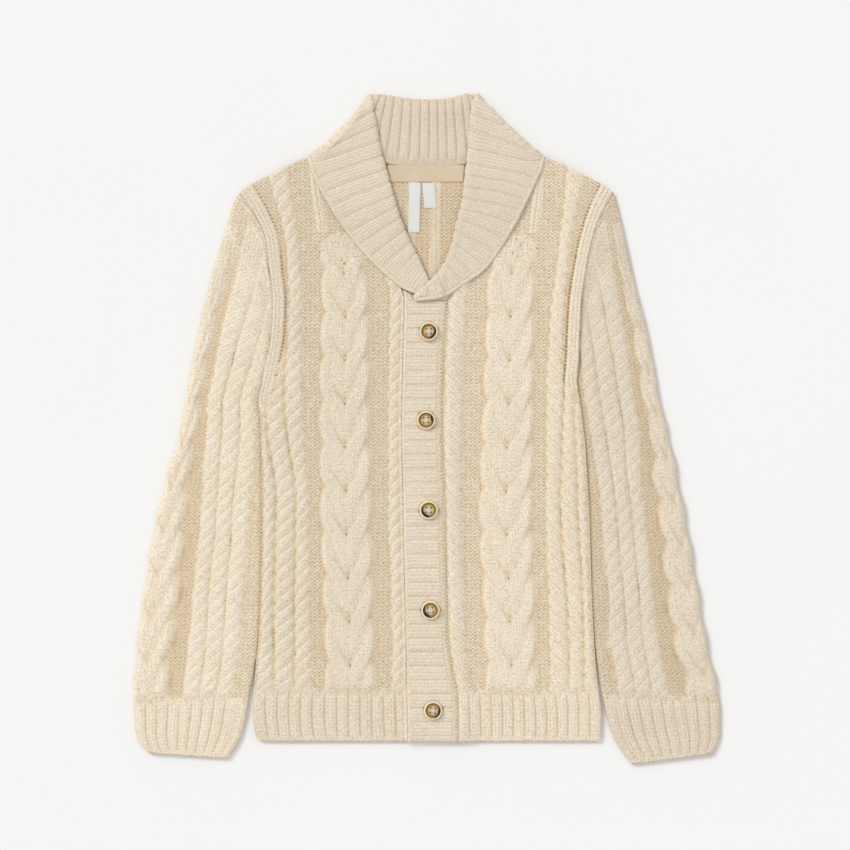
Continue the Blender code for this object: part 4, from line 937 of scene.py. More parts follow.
def wool(name, base, shade, hole_shade, speckle, lines):
    """Knitted yarn: purl bumps or columns of V stitches, with shade painted into holes and grooves
    and onto the purl ground, fuzzy.

    speckle is how much the fibres vary; lines is how clear the columns of knit stitches are.
    """
    r = Recipe(name, 0.92, sheen=0.25)
    column, row, kind = r.split(r.attribute("stitch", "Vector"))
    wander = (r.noise(WANDER[0]) - 0.5) * WANDER[1]
    jitter = (r.noise(JITTER[0]) - 0.5) * JITTER[1]
    column, row = column + wander, row + wander + jitter
    purl_share = (1.0 - kind * 2.0).math("MAXIMUM", 0.0)
    knit_share = (kind * 2.0 - 1.0).math("MAXIMUM", 0.0)
    swing = (column * TURN).math("COSINE")
    purl = ((row + swing * PURL_SWING) * TURN).math("COSINE")
    off = (column.math("FRACT") - 0.5).math("ABSOLUTE")
    leg = ((row - off * LEG_SLANT) * TURN).math("COSINE")
    vee = leg * (0.4 / lines) - r.ramp(off, 0.30, 0.5) * (0.8 * lines)
    height = purl * PURL_HEIGHT * purl_share + vee * knit_share
    purl_hole = r.ramp(purl, 0.1, -0.9) * r.ramp(swing, 1.0, -1.0, 1.0, 0.45)
    knit_hole = r.ramp(off, 0.22, 0.5) * r.ramp(leg, 0.3, -0.9, 0.06 + 0.2 * (lines - 1), 0.4)
    uneven = r.ramp(r.noise(120.0, 3.0), 0.3, 0.7, 0.4, 1.0)
    holes = (purl_hole * purl_share + knit_hole * knit_share) * uneven
    fuzz = r.noise(520.0, 4.0)
    painted_shade = r.attribute("painted_shade", "Fac")
    body = r.colour(r.ramp(r.noise(16.0), 0.35, 0.65) * 0.4, base, shade)
    # The purl ground is painted darker, as shade in the recess.
    body = r.colour(1.0 - kind, body, tinted(base, PURL_SHADE_TINT))
    body = r.colour(r.ramp(fuzz, 0.42, 0.72) * speckle, body, tinted(base, LIGHT_FIBRE_TINT))
    body = r.colour(r.ramp(fuzz, 0.52, 0.25) * speckle, body, tinted(shade, DARK_FIBRE_TINT))
    # Grooves get a warm painted shade, the deepest holes a dark one.
    body = r.colour(r.ramp(painted_shade, 0.0, 0.6, 0.0, 0.4), body, tinted(base, GROOVE_SHADE_TINT))
    body = r.colour(r.ramp(painted_shade, 0.55, 1.0, 0.0, 0.8), body, hole_shade)
    # The holes between the stitches are painted dark as shade.
    body = r.colour(holes * 0.8, body, tinted(base, HOLE_SHADE_TINT))
    return r.finish(body, height + (fuzz - 0.5) * (FIBRE_HEIGHT * speckle), STITCH_DEPTH, 0.5)


def woven(name, base, shade, pitch, roughness, sheen=0.0):
    """Flat woven cloth: threads crossing over and under."""
    r = Recipe(name, roughness, sheen)
    x, y, _ = r.split(r.position())
    weave = (x * (TURN / (pitch * MM))).math("SINE") * (y * (TURN / (pitch * MM))).math("SINE")
    body = r.colour(r.ramp(r.noise(60.0, 3.0), 0.35, 0.65) * 0.5, base, shade)
    body = r.colour(r.ramp(weave, -0.9, 0.2, 0.5, 0.0), body, tinted(shade, (0.6, 0.6, 0.6)))
    return r.finish(body, weave, 0.0002, 0.6)


def horn(name):
    """Polished horn: amber, dark brown towards the side that the stitch attribute points to."""
    r = Recipe(name, 0.22)
    r.set_look({"Specular IOR Level": 0.25, "Coat Weight": 0.35, "Coat Roughness": 0.1})
    x, y, _ = r.split(r.attribute("stitch", "Vector"))
    radius = (x * x + y * y).math("SQRT")
    cloud = (r.noise(190.0) - 0.5) * 1.5
    streak = r.ramp(x + cloud + (radius - 0.6) * 1.1, 0.40, 0.60)
    body = r.colour(r.ramp(radius, 0.5, 0.78), (0.42, 0.215, 0.026), (0.31, 0.135, 0.012))
    body = r.colour(streak, body, (0.028, 0.008, 0.003))
    body = r.colour(r.ramp(radius, 0.56, 0.40, 0.0, 0.8), body, (0.70, 0.60, 0.42))
    # The holes are painted dark as shade.
    body = r.colour(r.attribute("painted_shade", "Fac"), body, (0.07, 0.035, 0.018))
    return r.finish(body, r.noise(900.0), 0.00005, 0.3)


def plain_gloss(name, colour, roughness):
    """Smooth material of one slightly uneven colour."""
    r = Recipe(name, roughness)
    tint = r.colour(r.noise(300.0, 3.0), colour, tinted(colour, (0.85, 0.85, 0.85)))
    return r.finish(tint, r.noise(1200.0), 0.00005, 0.3)


# ---------------------------------------------------------------- fronts and back

def body_rows(step):
    """Heights of the rows up to the yoke, then shares of the way from it to the shoulder."""
    tight_rows = len(TIGHT) - 1
    low = HEM_Y + (YOKE_Y - HEM_Y) * spaced(BODY_SPAN, step[0])[:-tight_rows, None]
    return low, spaced(YOKE_SPAN, step[1])[tight_rows:, None]


def front_inner(y, side, sign):
    """Buttoned edge of a front, then its neckline."""
    seam = band_edge(y, side) + sign * SEWN
    return np.where(y > NECKLINE_START, sign * (neckline(y) - NECK_EASE), seam)


def front_grid(side, sign):
    """Plan of a front: x and y of a grid from hem to shoulder and from side to band."""
    s = spaced(FRONT_SPAN, FINE)[None, :]
    low, up = body_rows((FINE, FINE))
    y = low + 0 * s
    x = mix(body_edge(y, side), front_inner(y, side, sign), s)
    top = shoulder_y(mix(SHOULDER_TIP, NECK_POINT[0], s))
    yoke_y = YOKE_Y + (top - YOKE_Y) * up
    edge = body_edge(yoke_y[:, :1], side)
    inner = sign * (neckline(yoke_y[:, -1:]) - NECK_EASE)
    return np.concatenate((x, mix(edge, inner, s))), np.concatenate((y, yoke_y))


def knit_front_border(knit, y, from_edge, shown, underarm):
    """Knits columns along the armhole; returns the row of small holes beside them."""
    border = shown * ease(y, underarm - 8, underarm + 8) * (from_edge < 3 * BORDER_COLUMN)
    bumps = np.abs(np.sin(np.pi * from_edge / BORDER_COLUMN))
    knit.put(border > 0, BORDER_HEIGHT * (0.45 + 0.55 * bumps) * border, from_edge / BORDER_COLUMN,
             y / BORDER_PITCH, BORDER_KIND)
    off = from_edge - BORDER_HOLES
    faint = 0.5 * spot(off - BORDER_FAINT, y + BORDER_PITCH / 2, BORDER_PITCH, 1.5)
    return np.maximum(spot(off, y, BORDER_PITCH, 1.7), faint) * ease(y, underarm - 20, underarm + 10)


def front_piece(side, sign, material):
    """Front with its lanes, hem and armhole border; sign is -1 on the left of the picture."""
    x, y = front_grid(side, sign)
    edge, inner = body_edge(y, side), front_inner(y, side, sign)
    from_edge, from_inner = np.abs(x - x[:, :1]), np.abs(x - x[:, -1:])
    lanes = {name: curve(y, LANES[side], "y", name) for name in LANE_NAMES}
    lanes["side"] = edge - sign * 1.5
    lanes["band"] = inner + sign * 1.0
    x_knit = x + 0.8 * drift(x * 0.3, y, 26.0, 3.0 + sign)
    knit = Knit(x_knit, y)
    clear = 0.7 * (curve(x, LAPEL[side], "x", "y") - y)
    rib_top = RIB_TOP_Y + 2.5 * drift(x, y, 17.0, 11.0)
    shown = ease(clear, -14, -4) * ease(y, rib_top - 1, rib_top + 15)
    for start, end, phase, fade in FRONT_ROPES:
        borders, along, faded = (lanes[start], lanes[end]), y + phase, shown * ease(y, *fade)
        knit_rope(knit, x_knit, along, *borders, faded)
        uneven = FRONT_DOTS[0] + FRONT_DOTS[1] * drift(x_knit, along, 14.0, 9.0)
        border_dots(knit, x_knit, along, borders, faded, uneven)
    middle = (lanes["cable_start"] + lanes["cable_end"]) / 2
    arch = CABLE_ARCH * ((x - middle) / (lanes["cable_start"] - middle)) ** 2
    knit_cable(knit, x_knit, y + CABLE_PHASE, lanes["cable_start"], lanes["cable_end"],
               shown * ease(y + arch, *CABLE_FADE))
    column = ((x_knit - lanes["cable_start"]) * sign + 1.0) / STRAP_WIDTH
    strap = (np.abs(column) < 1) * ease(y, *STRAP_Y)
    knit.put(strap > 0.5, STRAP_HEIGHT * np.abs(np.sin(np.pi * column)) * strap, column,
             y / BORDER_PITCH, BORDER_KIND)
    holes = knit_front_border(knit, y, from_edge, shown, SLEEVES[side]["underarm_y"])
    # The holes beside the border are sunk and painted dark as shade.
    holes = holes * (0.85 + 0.3 * drift(x, y, 12.0, 9.0)) * shown
    knit.paint_shade(holes, HOLE_DEPTH * holes)
    # So are the larger holes where the wide cables begin.
    for hole_x, hole_y in YOKE_HOLES[side]:
        near = bell(x - hole_x, 1.3) * bell(y - hole_y, 1.7)
        knit.paint_shade(0.9 * near, HOLE_DEPTH * near)
    across = from_edge / (from_edge + from_inner) + 0.006 * drift(x, y, 20.0, 12.0)
    knit_ribs(knit, across, HEM_RIBS, y, rib_top, y - HEM_Y)
    lift = collar_lift(x, y, FRONT_LEAD)
    if side == "left":
        beside_band = ease(from_inner, 5.5, 0.6) * ease(clear, -2, 4)
        knit.height = np.maximum(knit.height, BAND_SIDE_FILL * beside_band)
        knit.pit_shade = knit.pit_shade * (1 - beside_band)
    else:
        lift = np.maximum(lift, band_lift(x, y))
    limit = 2.3 + 3 * ease(clear, -2, 5)
    relief = np.minimum(knit.height, limit) + 0.9 * drift(x, y, 30.0, 1.0 + sign) * ease(clear, -2, 9)
    round_off = np.minimum.reduce((sewn(from_edge, *ARMHOLE_EDGE), sewn(from_inner, *BAND_SEAM_EDGE),
                                   rounded(y - HEM_Y, HEM_ROUND),
                                   sewn(shoulder_y(x) - y, *SHOULDER_EDGE)))
    ground = FRONT_FLOOR + lift
    z = ground + EDGE_FOOT + (WALL - EDGE_FOOT + relief) * round_off
    return make_piece(f"front_{side}", "wool", [material],
                      *panel_shell(x, y, z, ground, knit.stitch(), knit.painted_shade()))


def back_piece(material):
    """Back panel: flat below, its purl inside shows through the neck opening."""
    s = spaced(BACK_SPAN, BACK_FINE)[None, :]
    low, up = body_rows((BACK_FINE, BACK_YOKE_FINE))
    y = low + 0 * s
    x = mix(body_edge(y, "left"), body_edge(y, "right"), s)
    top_x = mix(-SHOULDER_TIP, SHOULDER_TIP, s)
    yoke_y = YOKE_Y + (panel_top_y(top_x) - YOKE_Y) * up
    left, right = body_edge(yoke_y[:, :1], "left"), body_edge(yoke_y[:, -1:], "right")
    base = mix(body_edge(YOKE_Y, "left"), body_edge(YOKE_Y, "right"), s)
    yoke_x = mix(mix(base, top_x, up), mix(left, right, s), ease(np.abs(2 * s - 1), 0.55, 1.0))
    x, y = np.concatenate((x, yoke_x)), np.concatenate((y, yoke_y))
    lift = collar_lift(x, y)
    knit = Knit(x, y)
    for line in BACK_LINES:
        ridge = bell(x - line - BACK_LINE_SLOPE * (y - BACK_LINE_Y), 1.9)
        knit.height = knit.height + 1.3 * ridge
        knit.kind = np.maximum(knit.kind, 1.3 * ease(ridge, 0.2, 0.6))
    rise = WALL - BACK_FOOT + knit.height + 0.3 * drift(x, y, 24.0, 2.0)
    from_side = np.minimum(x - x[:, :1], x[:, -1:] - x)
    z = lift + BACK_FOOT + rise * rounded(np.minimum(from_side, y - HEM_Y), BACK_ROUND)
    return make_piece("back", "wool_back", [material],
                      *panel_shell(x, y, z, lift, knit.stitch(), knit.painted_shade(), kept=60))


# ---------------------------------------------------------------- sleeves

def sleeve_ends(sleeve, side, along):
    """Outer and inner end of sections; along is 0 at the underarm, 1 at the cuff, 2 at its end."""
    ends = []
    for k, start in enumerate((sleeve["underarm_y"] - 4, sleeve["underarm_y"])):
        cuff, last = sleeve["cuff_y"][k], sleeve["end_y"][k]
        past = np.maximum(along - 1, 0)
        ends.append(start + (cuff - start) * np.minimum(along, 1) + (last - cuff) * past)
    outer_y, inner_y = ends
    seam_x = body_edge(inner_y, side) + sleeve["sign"] * SEWN
    free_x = curve(inner_y, sleeve["inner"], "y", "x")
    inner_x = np.where(inner_y > sleeve["inner"]["y"][0], seam_x, free_x)
    return stacked(curve(outer_y, sleeve["outer"], "y", "x"), outer_y), stacked(inner_x, inner_y)


def sleeve_grid(sleeve, side):
    """Plan of a sleeve's top: points, lane coordinate of each column and distance along."""
    c = spaced(SLEEVE_SPAN, FINE, TIGHT_FOLD)
    i = np.clip(np.searchsorted(LANE_KNOTS, c) - 1, 0, len(LANE_KNOTS) - 2)
    f = (c - LANE_KNOTS[i]) / (LANE_KNOTS[i + 1] - LANE_KNOTS[i])
    arm_y = mix(ARMHOLE_TIP_Y, sleeve["underarm_y"], curve(c, ARMHOLE, "lane", "share"))
    start = stacked(body_edge(arm_y, side) + sleeve["sign"] * SEWN, arm_y)
    outer, inner = sleeve_ends(sleeve, side, np.zeros(1))
    end = mix(outer[0], inner[0], c[:, None])
    even_rows = CAP_ROWS + 1 - len(CAP_FIRST_ROWS)
    rise = np.concatenate((CAP_FIRST_ROWS, np.linspace(0.01, 1, even_rows)[:-1]))[:, None]
    cap = mix(start[None], end[None], rise[..., None])
    bulge = curve(cap[:, :1, 1], sleeve["outer"], "y", "x") - cap[:, :1, 0]
    cap[..., 0] += bulge * (1 - c[None]) ** 2 * (rise > 0)
    cap_along = np.linalg.norm(end - start, axis=-1)[None] * (1 - rise)
    along = np.concatenate((np.linspace(0, 1, ARM_ROWS)[:-1], 1 + spaced(CUFF_SPAN, FINE)))
    outer, inner = sleeve_ends(sleeve, side, along)
    lanes = stacked(*(curve(np.minimum(along, 1), SLEEVE_SHARES, "along", name)
                      for name in SLEEVE_LANES))
    share = mix(lanes[:, i], lanes[:, i + 1], f)
    arm_rows = mix(outer[:, None], inner[:, None], share[..., None])
    down = -travelled((outer + inner) / 2, 0)
    reached = np.concatenate((cap_along, down[:, None] + 0 * share))
    return np.concatenate((cap, arm_rows)), c, reached, len(cap), down[along <= 1][-1]


def sleeve_piece(side, material):
    """Flattened tube: a wide cable at the fold, three ropes, purl and a ribbed cuff on top."""
    sleeve = SLEEVES[side]
    sign = sleeve["sign"]
    plan, c, along, cap_rows, cuff_at = sleeve_grid(sleeve, side)
    bulges = 0.5 + 0.5 * np.cos(TURN * (along - sleeve["bulge_at"]) / CABLE_REPEAT)
    out = SLEEVE_BULGE * bulges * (1 - c[None]) ** 4 * ease(along, cuff_at, cuff_at + 20)
    plan[..., 0] += sign * out * ease(along, -20, -60)
    x, y = plan[..., 0], plan[..., 1]
    width = np.linalg.norm(plan[:, -1] - plan[:, 0], axis=-1)[:, None] + 0 * x
    share = np.linalg.norm(plan - plan[:, :1], axis=-1) / np.maximum(width, 1.0)
    knit = Knit(share * width, along)
    row = np.arange(len(x))[:, None] + 0 * x
    from_cuff_edge = along - along.min()

    scale = width / (LANE_KNOTS[-1] - LANE_KNOTS[0])
    lane = (c[None] + 0.012 * drift(x, y, 22.0, 4.0 + sign)) * scale
    borders = [knot * scale for knot in LANE_KNOTS]
    cuff_top = cuff_at - sleeve["cuff_drop"] + 2.0 * drift(x, y, 17.0, 12.0)
    body = ease(along, cuff_top - 1, cuff_top + 15)
    shown = ease(row, 6, 40) * body
    twist = mix(0.55, 0.72, ease(along, 60, 5)) + 0.2 * drift(x, y, 30.0, 13.0)
    twist = twist * ease(row, cap_rows * 0.2, cap_rows * 0.6)
    past = borders[1] / (1 - CABLE_PAST_FOLD) * CABLE_PAST_FOLD
    tight = np.where(row < cap_rows, 0.35 + 0.65 * (row / cap_rows) ** 2, 1.0)
    knit_cable(knit, lane, along + sleeve["cable_at"], -past, borders[1], shown * tight,
               holes=0.04 * (sign > 0), lit=-sign, outer=0.35)
    for k in range(3):
        sides = borders[k + 2:k + 4]
        knit_rope(knit, lane, along + SLEEVE_ROPE_STEP * k, *sides, shown, sleeve["climb"], twist,
                  SLEEVE_ROPE_HEIGHT, deeper(shown))
        uneven = SLEEVE_DOTS[0] + SLEEVE_DOTS[1] * drift(x, y, 14.0, 9.0)
        border_dots(knit, lane, along, sides, shown, uneven)
    knit_ribs(knit, share + 0.006 * drift(x, y, 20.0, 14.0), CUFF_RIBS, along, cuff_top,
              from_cuff_edge)
    # Shadow painted on the sleeve beside the body, whose edge lies over it.
    from_body = sign * (x - body_edge(y, side))
    seam = bell(from_body, 3.6) + 0.3 * bell(from_body, 11.0)
    seam = seam * ease(y, *SEAM_SHADE_TOP) * ease(y, *SEAM_SHADE_END)
    from_trough = 2 * (lane - (borders[1] + borders[2]) / 2) / (borders[2] - borders[1])
    knit.paint_shade(sleeve["seam_shade"] * np.minimum(seam, 1.0))
    # Warm shade painted along the purl trough between the cable and the first rope.
    knit.paint_shade(0.36 * bell(from_trough, 0.8) * ease(row, 20, 60) * body)

    from_fold, from_underarm = share * width, (1 - share) * width
    on_cap = ease(y, 30, 90)
    relief = knit.height + mix(1.0, 1.6, on_cap) * drift(x, y, 24.0, 5.0 + sign)
    relief = relief + 1.1 * on_cap * drift(x + 0.6 * y, y, 8.0, 8.0 + sign)
    joined = 0.35 * ease(y, -250, -200)
    fold_round = rounded(from_fold, FOLD_ROUND)
    round_off = np.minimum(fold_round, sewn(from_underarm, UNDERARM_ROUND, joined))
    round_off = round_off * mix(0.75, 1.0, rounded(from_cuff_edge, CUFF_ROUND))
    round_off = round_off * (rounded(row * 1.7, 4.0) * 0.1 + 0.9)
    half = SLEEVE_TOP / 2
    top = half + (SLEEVE_TOP - half + relief) * round_off
    last = len(c) - 1
    kept = np.concatenate((np.arange(1, 6), np.linspace(6, last - 6, 40).round(),
                           np.arange(last - 5, last))).astype(int)[::-1]
    below = half * (1 - np.minimum(fold_round, rounded(from_underarm, LOW_ROUND)))[:, kept]
    below = np.where(below < 0.02, 0.0, below)
    low_stitch = stacked(share * width / STITCH[0], along / STITCH[1], 0 * x)[:, kept]
    outer = np.concatenate((stacked(x, y, top), stacked(x[:, kept], y[:, kept], below)), axis=1)
    stitch = np.concatenate((knit.stitch(), low_stitch), axis=1)
    # The underside is painted with a little shade.
    painted_shade = np.concatenate((knit.painted_shade(), 0.15 + 0 * below), axis=1)
    slit = [np.clip(np.searchsorted(c, at), 1, len(c) - 2) for at in SLIT_AT]
    high = stacked(x[:, slit], y[:, slit], WALL + SLEEVE_SLIT)
    inner = np.concatenate((high, high[:, ::-1] - (0, 0, SLEEVE_SLIT)), axis=1)
    return make_piece(f"sleeve_{side}", "wool", [material],
                      *shell(outer, inner, stitch, painted_shade, tube=True, dark=0.4))


# ---------------------------------------------------------------- buttonhole band

def band_piece(material):
    """Buttonhole band: ribs across it, rolled free edge and a column of seam stitches."""
    level = (HEM_Y + (BAND_END_Y - HEM_Y) * spaced(BAND_SPAN, BAND_FINE))[:, None]
    s = spaced(BAND_WIDE_SPAN, 1.0)[None, :]
    head = curve(mix(band_edge(level, "left"), band_edge(level, "right"), s), BAND_HEAD, "x", "y")
    y = level + (head - BAND_END_Y) * ease(level, BAND_END_Y - 30, BAND_END_Y)
    left, right = band_edge(y, "left"), band_edge(y, "right")
    x = mix(left, right, s)
    from_left, from_right, from_head, from_hem = x - left, right - x, head - y, y - HEM_Y
    knit = Knit(x, y)
    off = np.abs(from_whole((y - BAND_PHASE) / BAND_RIB + 0.03 * np.sin(y / 37)))
    inside = ease(from_left, 3.2, 5.5) * ease(from_right, 5.5, 9.0)
    inside = inside * ease(from_hem, 2, 6) * ease(from_head, 1, 6)
    valley = bell(off, 0.12) * (0.75 + 0.3 * drift(x, y, 18.0, 4.0))
    ribs = RIB_HEIGHT * (1 - valley - 0.15 * bell(off - 0.5, 0.06))
    # Rib valleys are painted with a little shade.
    knit.put(inside > 0, ribs * inside, y / 4.0, x / STITCH[1], 1.0, 0.12 * valley * inside)
    roll = rounded(from_left, 1.6) * ease(from_left, 5.2, 2.8)
    seam_bumps = spot(from_right - BAND_SEAM, y, BAND_STITCH, 1.9)
    knit.height = knit.height + 1.4 * roll + 0.9 * ease(from_head, 10, 0) + 1.2 * seam_bumps
    knit.kind = np.maximum(knit.kind, ease(from_left, 5.0, 4.0))
    # A shadow is painted on the band round each button.
    for cx, cy in zip(BUTTONS["x"], BUTTONS["y"]):
        knit.paint_shade(0.72 * bell(np.hypot(x - cx, y - cy) - BUTTON_RADIUS - 0.4, 1.4))
    # Holes beside the seam stitches are painted dark as shade.
    for seam, size, strength in ((BAND_SEAM, 1.1, 0.28), (BAND_SEAM + 3.4, 1.0, 0.168)):
        knit.paint_shade(strength * spot(from_right - seam, y + BAND_STITCH / 2, BAND_STITCH, size))
    round_off = np.minimum.reduce((sewn(from_left, *BAND_FREE_EDGE), rounded(from_hem, BACK_ROUND),
                                   sewn(from_right, *BAND_SEAM_EDGE),
                                   sewn(from_head, *BAND_HEAD_EDGE)))
    relief = knit.height + 0.25 * drift(x, y, 25.0, 6.0)
    z = BAND_BASE + EDGE_FOOT + (WALL - EDGE_FOOT + relief) * round_off
    return make_piece("band_top", "wool", [material],
                      *panel_shell(x, y, z, BAND_BASE, knit.stitch(), knit.painted_shade(3), kept=5))


# ---------------------------------------------------------------- collar

def collar_level(plan, turn, radius, right):
    """Points of a layer a radius from the middle of the stack, turned over its edge."""
    x, y = plan[:, 0], plan[:, 1]
    lift = collar_lift(x, y, COLLAR_LEAD)
    on_right = np.maximum(np.maximum(lift, band_lift(x, y)),
                          (BAND_STEP + COLLAR_LIFT) * crossing(x, y))
    lift = np.where(right, on_right, lift)
    up = facing(turn, right) * radius
    z = COLLAR_WALL / 2 + FALL_RADIUS + up[:, 2]
    z = z - (COLLAR_LIFT - lift) * np.maximum(0.0, up[:, 2] / radius)
    return stacked(x + up[:, 0], y + up[:, 1], z)


def facing(turn, right):
    """Directions from the stand to the fall."""
    across = np.sin(np.pi * turn)
    side = np.where(right, 1.0, -1.0)
    return stacked(side * SHOULDER_OUT[0] * across, SHOULDER_OUT[1] * across, np.cos(np.pi * turn))


def collar_sections(ribs, right):
    """Middle surface at every station: points, outward directions and share of rib shown."""
    v = {name: curve(ribs, COLLAR, "rib", name) for name in COLLAR_COLUMNS[1:]}
    seam, roll, bend, edge = (stacked(v[f"{name}_x"], v[f"{name}_y"])
                              for name in ("seam", "roll", "bend", "edge"))
    out = unit(unit(roll - seam) + unit(roll - bend))
    centre = roll - out * (LAYER_STEP + COLLAR_WALL) / 2
    roll_turn, bend_turn, edge_turn = v["roll_turn"], v["bend_turn"], v["edge_turn"]
    stand_shows = ease(roll_turn, 0.4, 1.0)
    made = []
    for share in (0.0, 0.11, 0.16, 0.55):
        at = collar_level(mix(seam, centre, share), roll_turn, STAND_RADIUS, right)
        made.append((at, -facing(roll_turn, right), stand_shows * (share > 0.12)))
    start = collar_level(centre, roll_turn, STAND_RADIUS, right)
    up = facing(roll_turn, right)
    away = np.concatenate((out, np.zeros((len(ribs), 1))), axis=1)
    for degrees in (0, 45, 90, 135, 180):
        s, c = math.sin(math.radians(degrees)), math.cos(math.radians(degrees))
        at = start + LAYER_STEP / 2 * (away * s + up * (1 - c))
        shown = stand_shows if degrees < 90 else ease(roll_turn, 0.9, 0.4)
        made.append((at, away * s - up * c, shown))
    room = np.minimum(0.35 * np.linalg.norm(bend - centre, axis=1),
                      0.7 * np.linalg.norm(edge - bend, axis=1))
    width = np.minimum(BEND_SPREAD * (1 - np.abs(edge_turn - bend_turn)), room)
    spread = unit(edge - roll) * width[:, None]
    stops = [(mix(centre, bend, share), mix(roll_turn, bend_turn, share))
             for share in (0.25, 0.5, 0.75)]
    stops += [(bend + spread * (share - 0.5), mix(bend_turn, edge_turn, share))
              for share in (0.0, 1 / 3, 2 / 3, 1.0)]
    stops += [(mix(bend, edge, share), edge_turn) for share in (0.5, 0.85, 1.0)]
    for plan, turn in stops:
        at = collar_level(plan, turn, FALL_RADIUS, right)
        made.append((at, facing(turn, right), ease(turn, 0.9, 0.4)))
    return [np.stack(parts, axis=1) for parts in zip(*made)]


def stepped(values, counts, between):
    """Rows of values with so many steps in each interval, each step made by a function."""
    made = [between(i, t) for i, count in enumerate(counts) for t in np.arange(count) / count]
    return np.stack(made + [values[:, -1]], axis=1)


def refined(points, counts):
    """Smooth curve through each row of points, with so many steps in each of its intervals."""
    chord = np.maximum(np.linalg.norm(np.diff(points, axis=1), axis=-1), 1e-3)[..., None]
    rate = np.diff(points, axis=1) / chord
    both = chord[:, 1:] + chord[:, :-1]
    inner = (rate[:, :-1] * chord[:, 1:] + rate[:, 1:] * chord[:, :-1]) / both
    slope = np.concatenate((rate[:, :1], inner, rate[:, -1:]), axis=1)
    return stepped(points, counts, lambda i, t: hermite(
        t, points[:, i], points[:, i + 1], chord[:, i] * slope[:, i], chord[:, i] * slope[:, i + 1]))


def straight(values, counts):
    """The same steps in straight lines."""
    return stepped(values, counts, lambda i, t: mix(values[:, i], values[:, i + 1], t))


def collar_piece(material):
    """Shawl collar: folded strip with ribs across it and a rolled free edge."""
    last = COLLAR["rib"][-1]
    ribs = np.linspace(0, last, int(last * STATIONS_PER_RIB) + 1)
    right = ribs > COLLAR_MIDDLE
    points, normals, shows = collar_sections(ribs, right)
    middle = refined(points, COLLAR_STEPS)
    normal = unit(straight(normals, COLLAR_STEPS))
    shown = straight(shows, COLLAR_STEPS)
    reached = travelled(middle, 1)
    from_edge = reached[:, -1:] - reached
    phase = (ribs + 0.5 * ease(ribs, 16.0, 13.6))[:, None] + 0 * reached
    off = from_whole(phase)
    knit = Knit(reached, reached)
    behind = ease(np.abs(ribs - COLLAR_MIDDLE), 8.0, 6.0)[:, None]
    lap = ~right[:, None] * crossing(middle[..., 0] - 6, middle[..., 1] - 6)
    depth = shown * mix(0.25, 1.0, ease(from_edge, 2.0, 7.0)) * (1 - lap) * mix(0.72, 1.1, behind)
    # Rib valleys and the groove inside the rolled edge are painted with shade.
    knit.put(reached > -1, RIB_HEIGHT * (1 - bell(off, 0.13)) * depth, phase * 4.6,
             reached / STITCH[1], 1.0, mix(0.2, 0.3, behind) * bell(off, 0.08) * depth)
    knit.paint_shade(0.28 * bell(from_edge - EDGE_ROLL - 0.6, 1.1) * shown)
    bead = np.sin(np.pi * np.clip(from_edge / EDGE_ROLL, 0.0, 1.0)) ** 0.7
    knit.put((from_edge < EDGE_ROLL) & (shown > 0.5), 0.9 * bead, from_edge / EDGE_ROLL,
             (ribs * COLLAR_RIB / STITCH[1])[:, None], 1.2)
    lumps = 0.3 * drift(middle[..., 0], middle[..., 1], 26.0, 7.0) * shown * (1 - lap)
    thick = COLLAR_WALL / 2 * rounded(from_edge, COLLAR_ROUND) * rounded(reached, 0.4)
    rise = (knit.height + lumps) * rounded(from_edge, COLLAR_ROUND)
    outer = middle + normal * (thick + rise)[..., None]
    outer[..., 2] = np.maximum(outer[..., 2], 0.0)
    thin = np.full(points.shape[1], COLLAR_WALL / 2)
    thin[[0, -1]] *= 0.15
    inner = points - unit(normals) * thin[None, :, None]
    return make_piece("collar", "wool", [material],
                      *shell(outer, inner, knit.stitch(), knit.painted_shade(2), kind=1.0, dark=0.2))


# ---------------------------------------------------------------- tape, labels and buttons

def trim_piece(name, slot, material):
    """Thin woven strip on the inside of the back, with a slightly raised border."""
    (top_left, top_right), (low_left, low_right), (high, low) = TRIM[name]
    s = spaced(top_right - top_left, FINE, TIGHT_TRIM)[None, :]
    down = spaced(high - low, FINE, TIGHT_TRIM)[:, None]
    y = mix(high, low, down) + 0 * s
    x = mix(mix(top_left, low_left, down), mix(top_right, low_right, down), s)
    inset = np.minimum.reduce((x - x[:, :1], x[:, -1:] - x, high - y, y - low))
    stitched = spot(inset - 1.6, x + y, 2.4, 0.5)
    ground = WALL + SEAM + collar_lift(x, y, TRIM_LEAD)
    rise = TRIM_WALL * rounded(inset, 0.8) + 0.25 * drift(x, y, 9.0, 8.0) - 0.25 * stitched
    stitch = stacked(x / STITCH[0], y / STITCH[1], 0.0)
    return make_piece(name, slot, [material],
                      *panel_shell(x, y, ground + 0.15 + rise, ground, stitch, 0.6 * stitched, kept=5))


def around(turns, x, y, z, radius):
    """Ring of points about an upright axis."""
    return stacked(x + radius * np.cos(turns), y + radius * np.sin(turns), z)


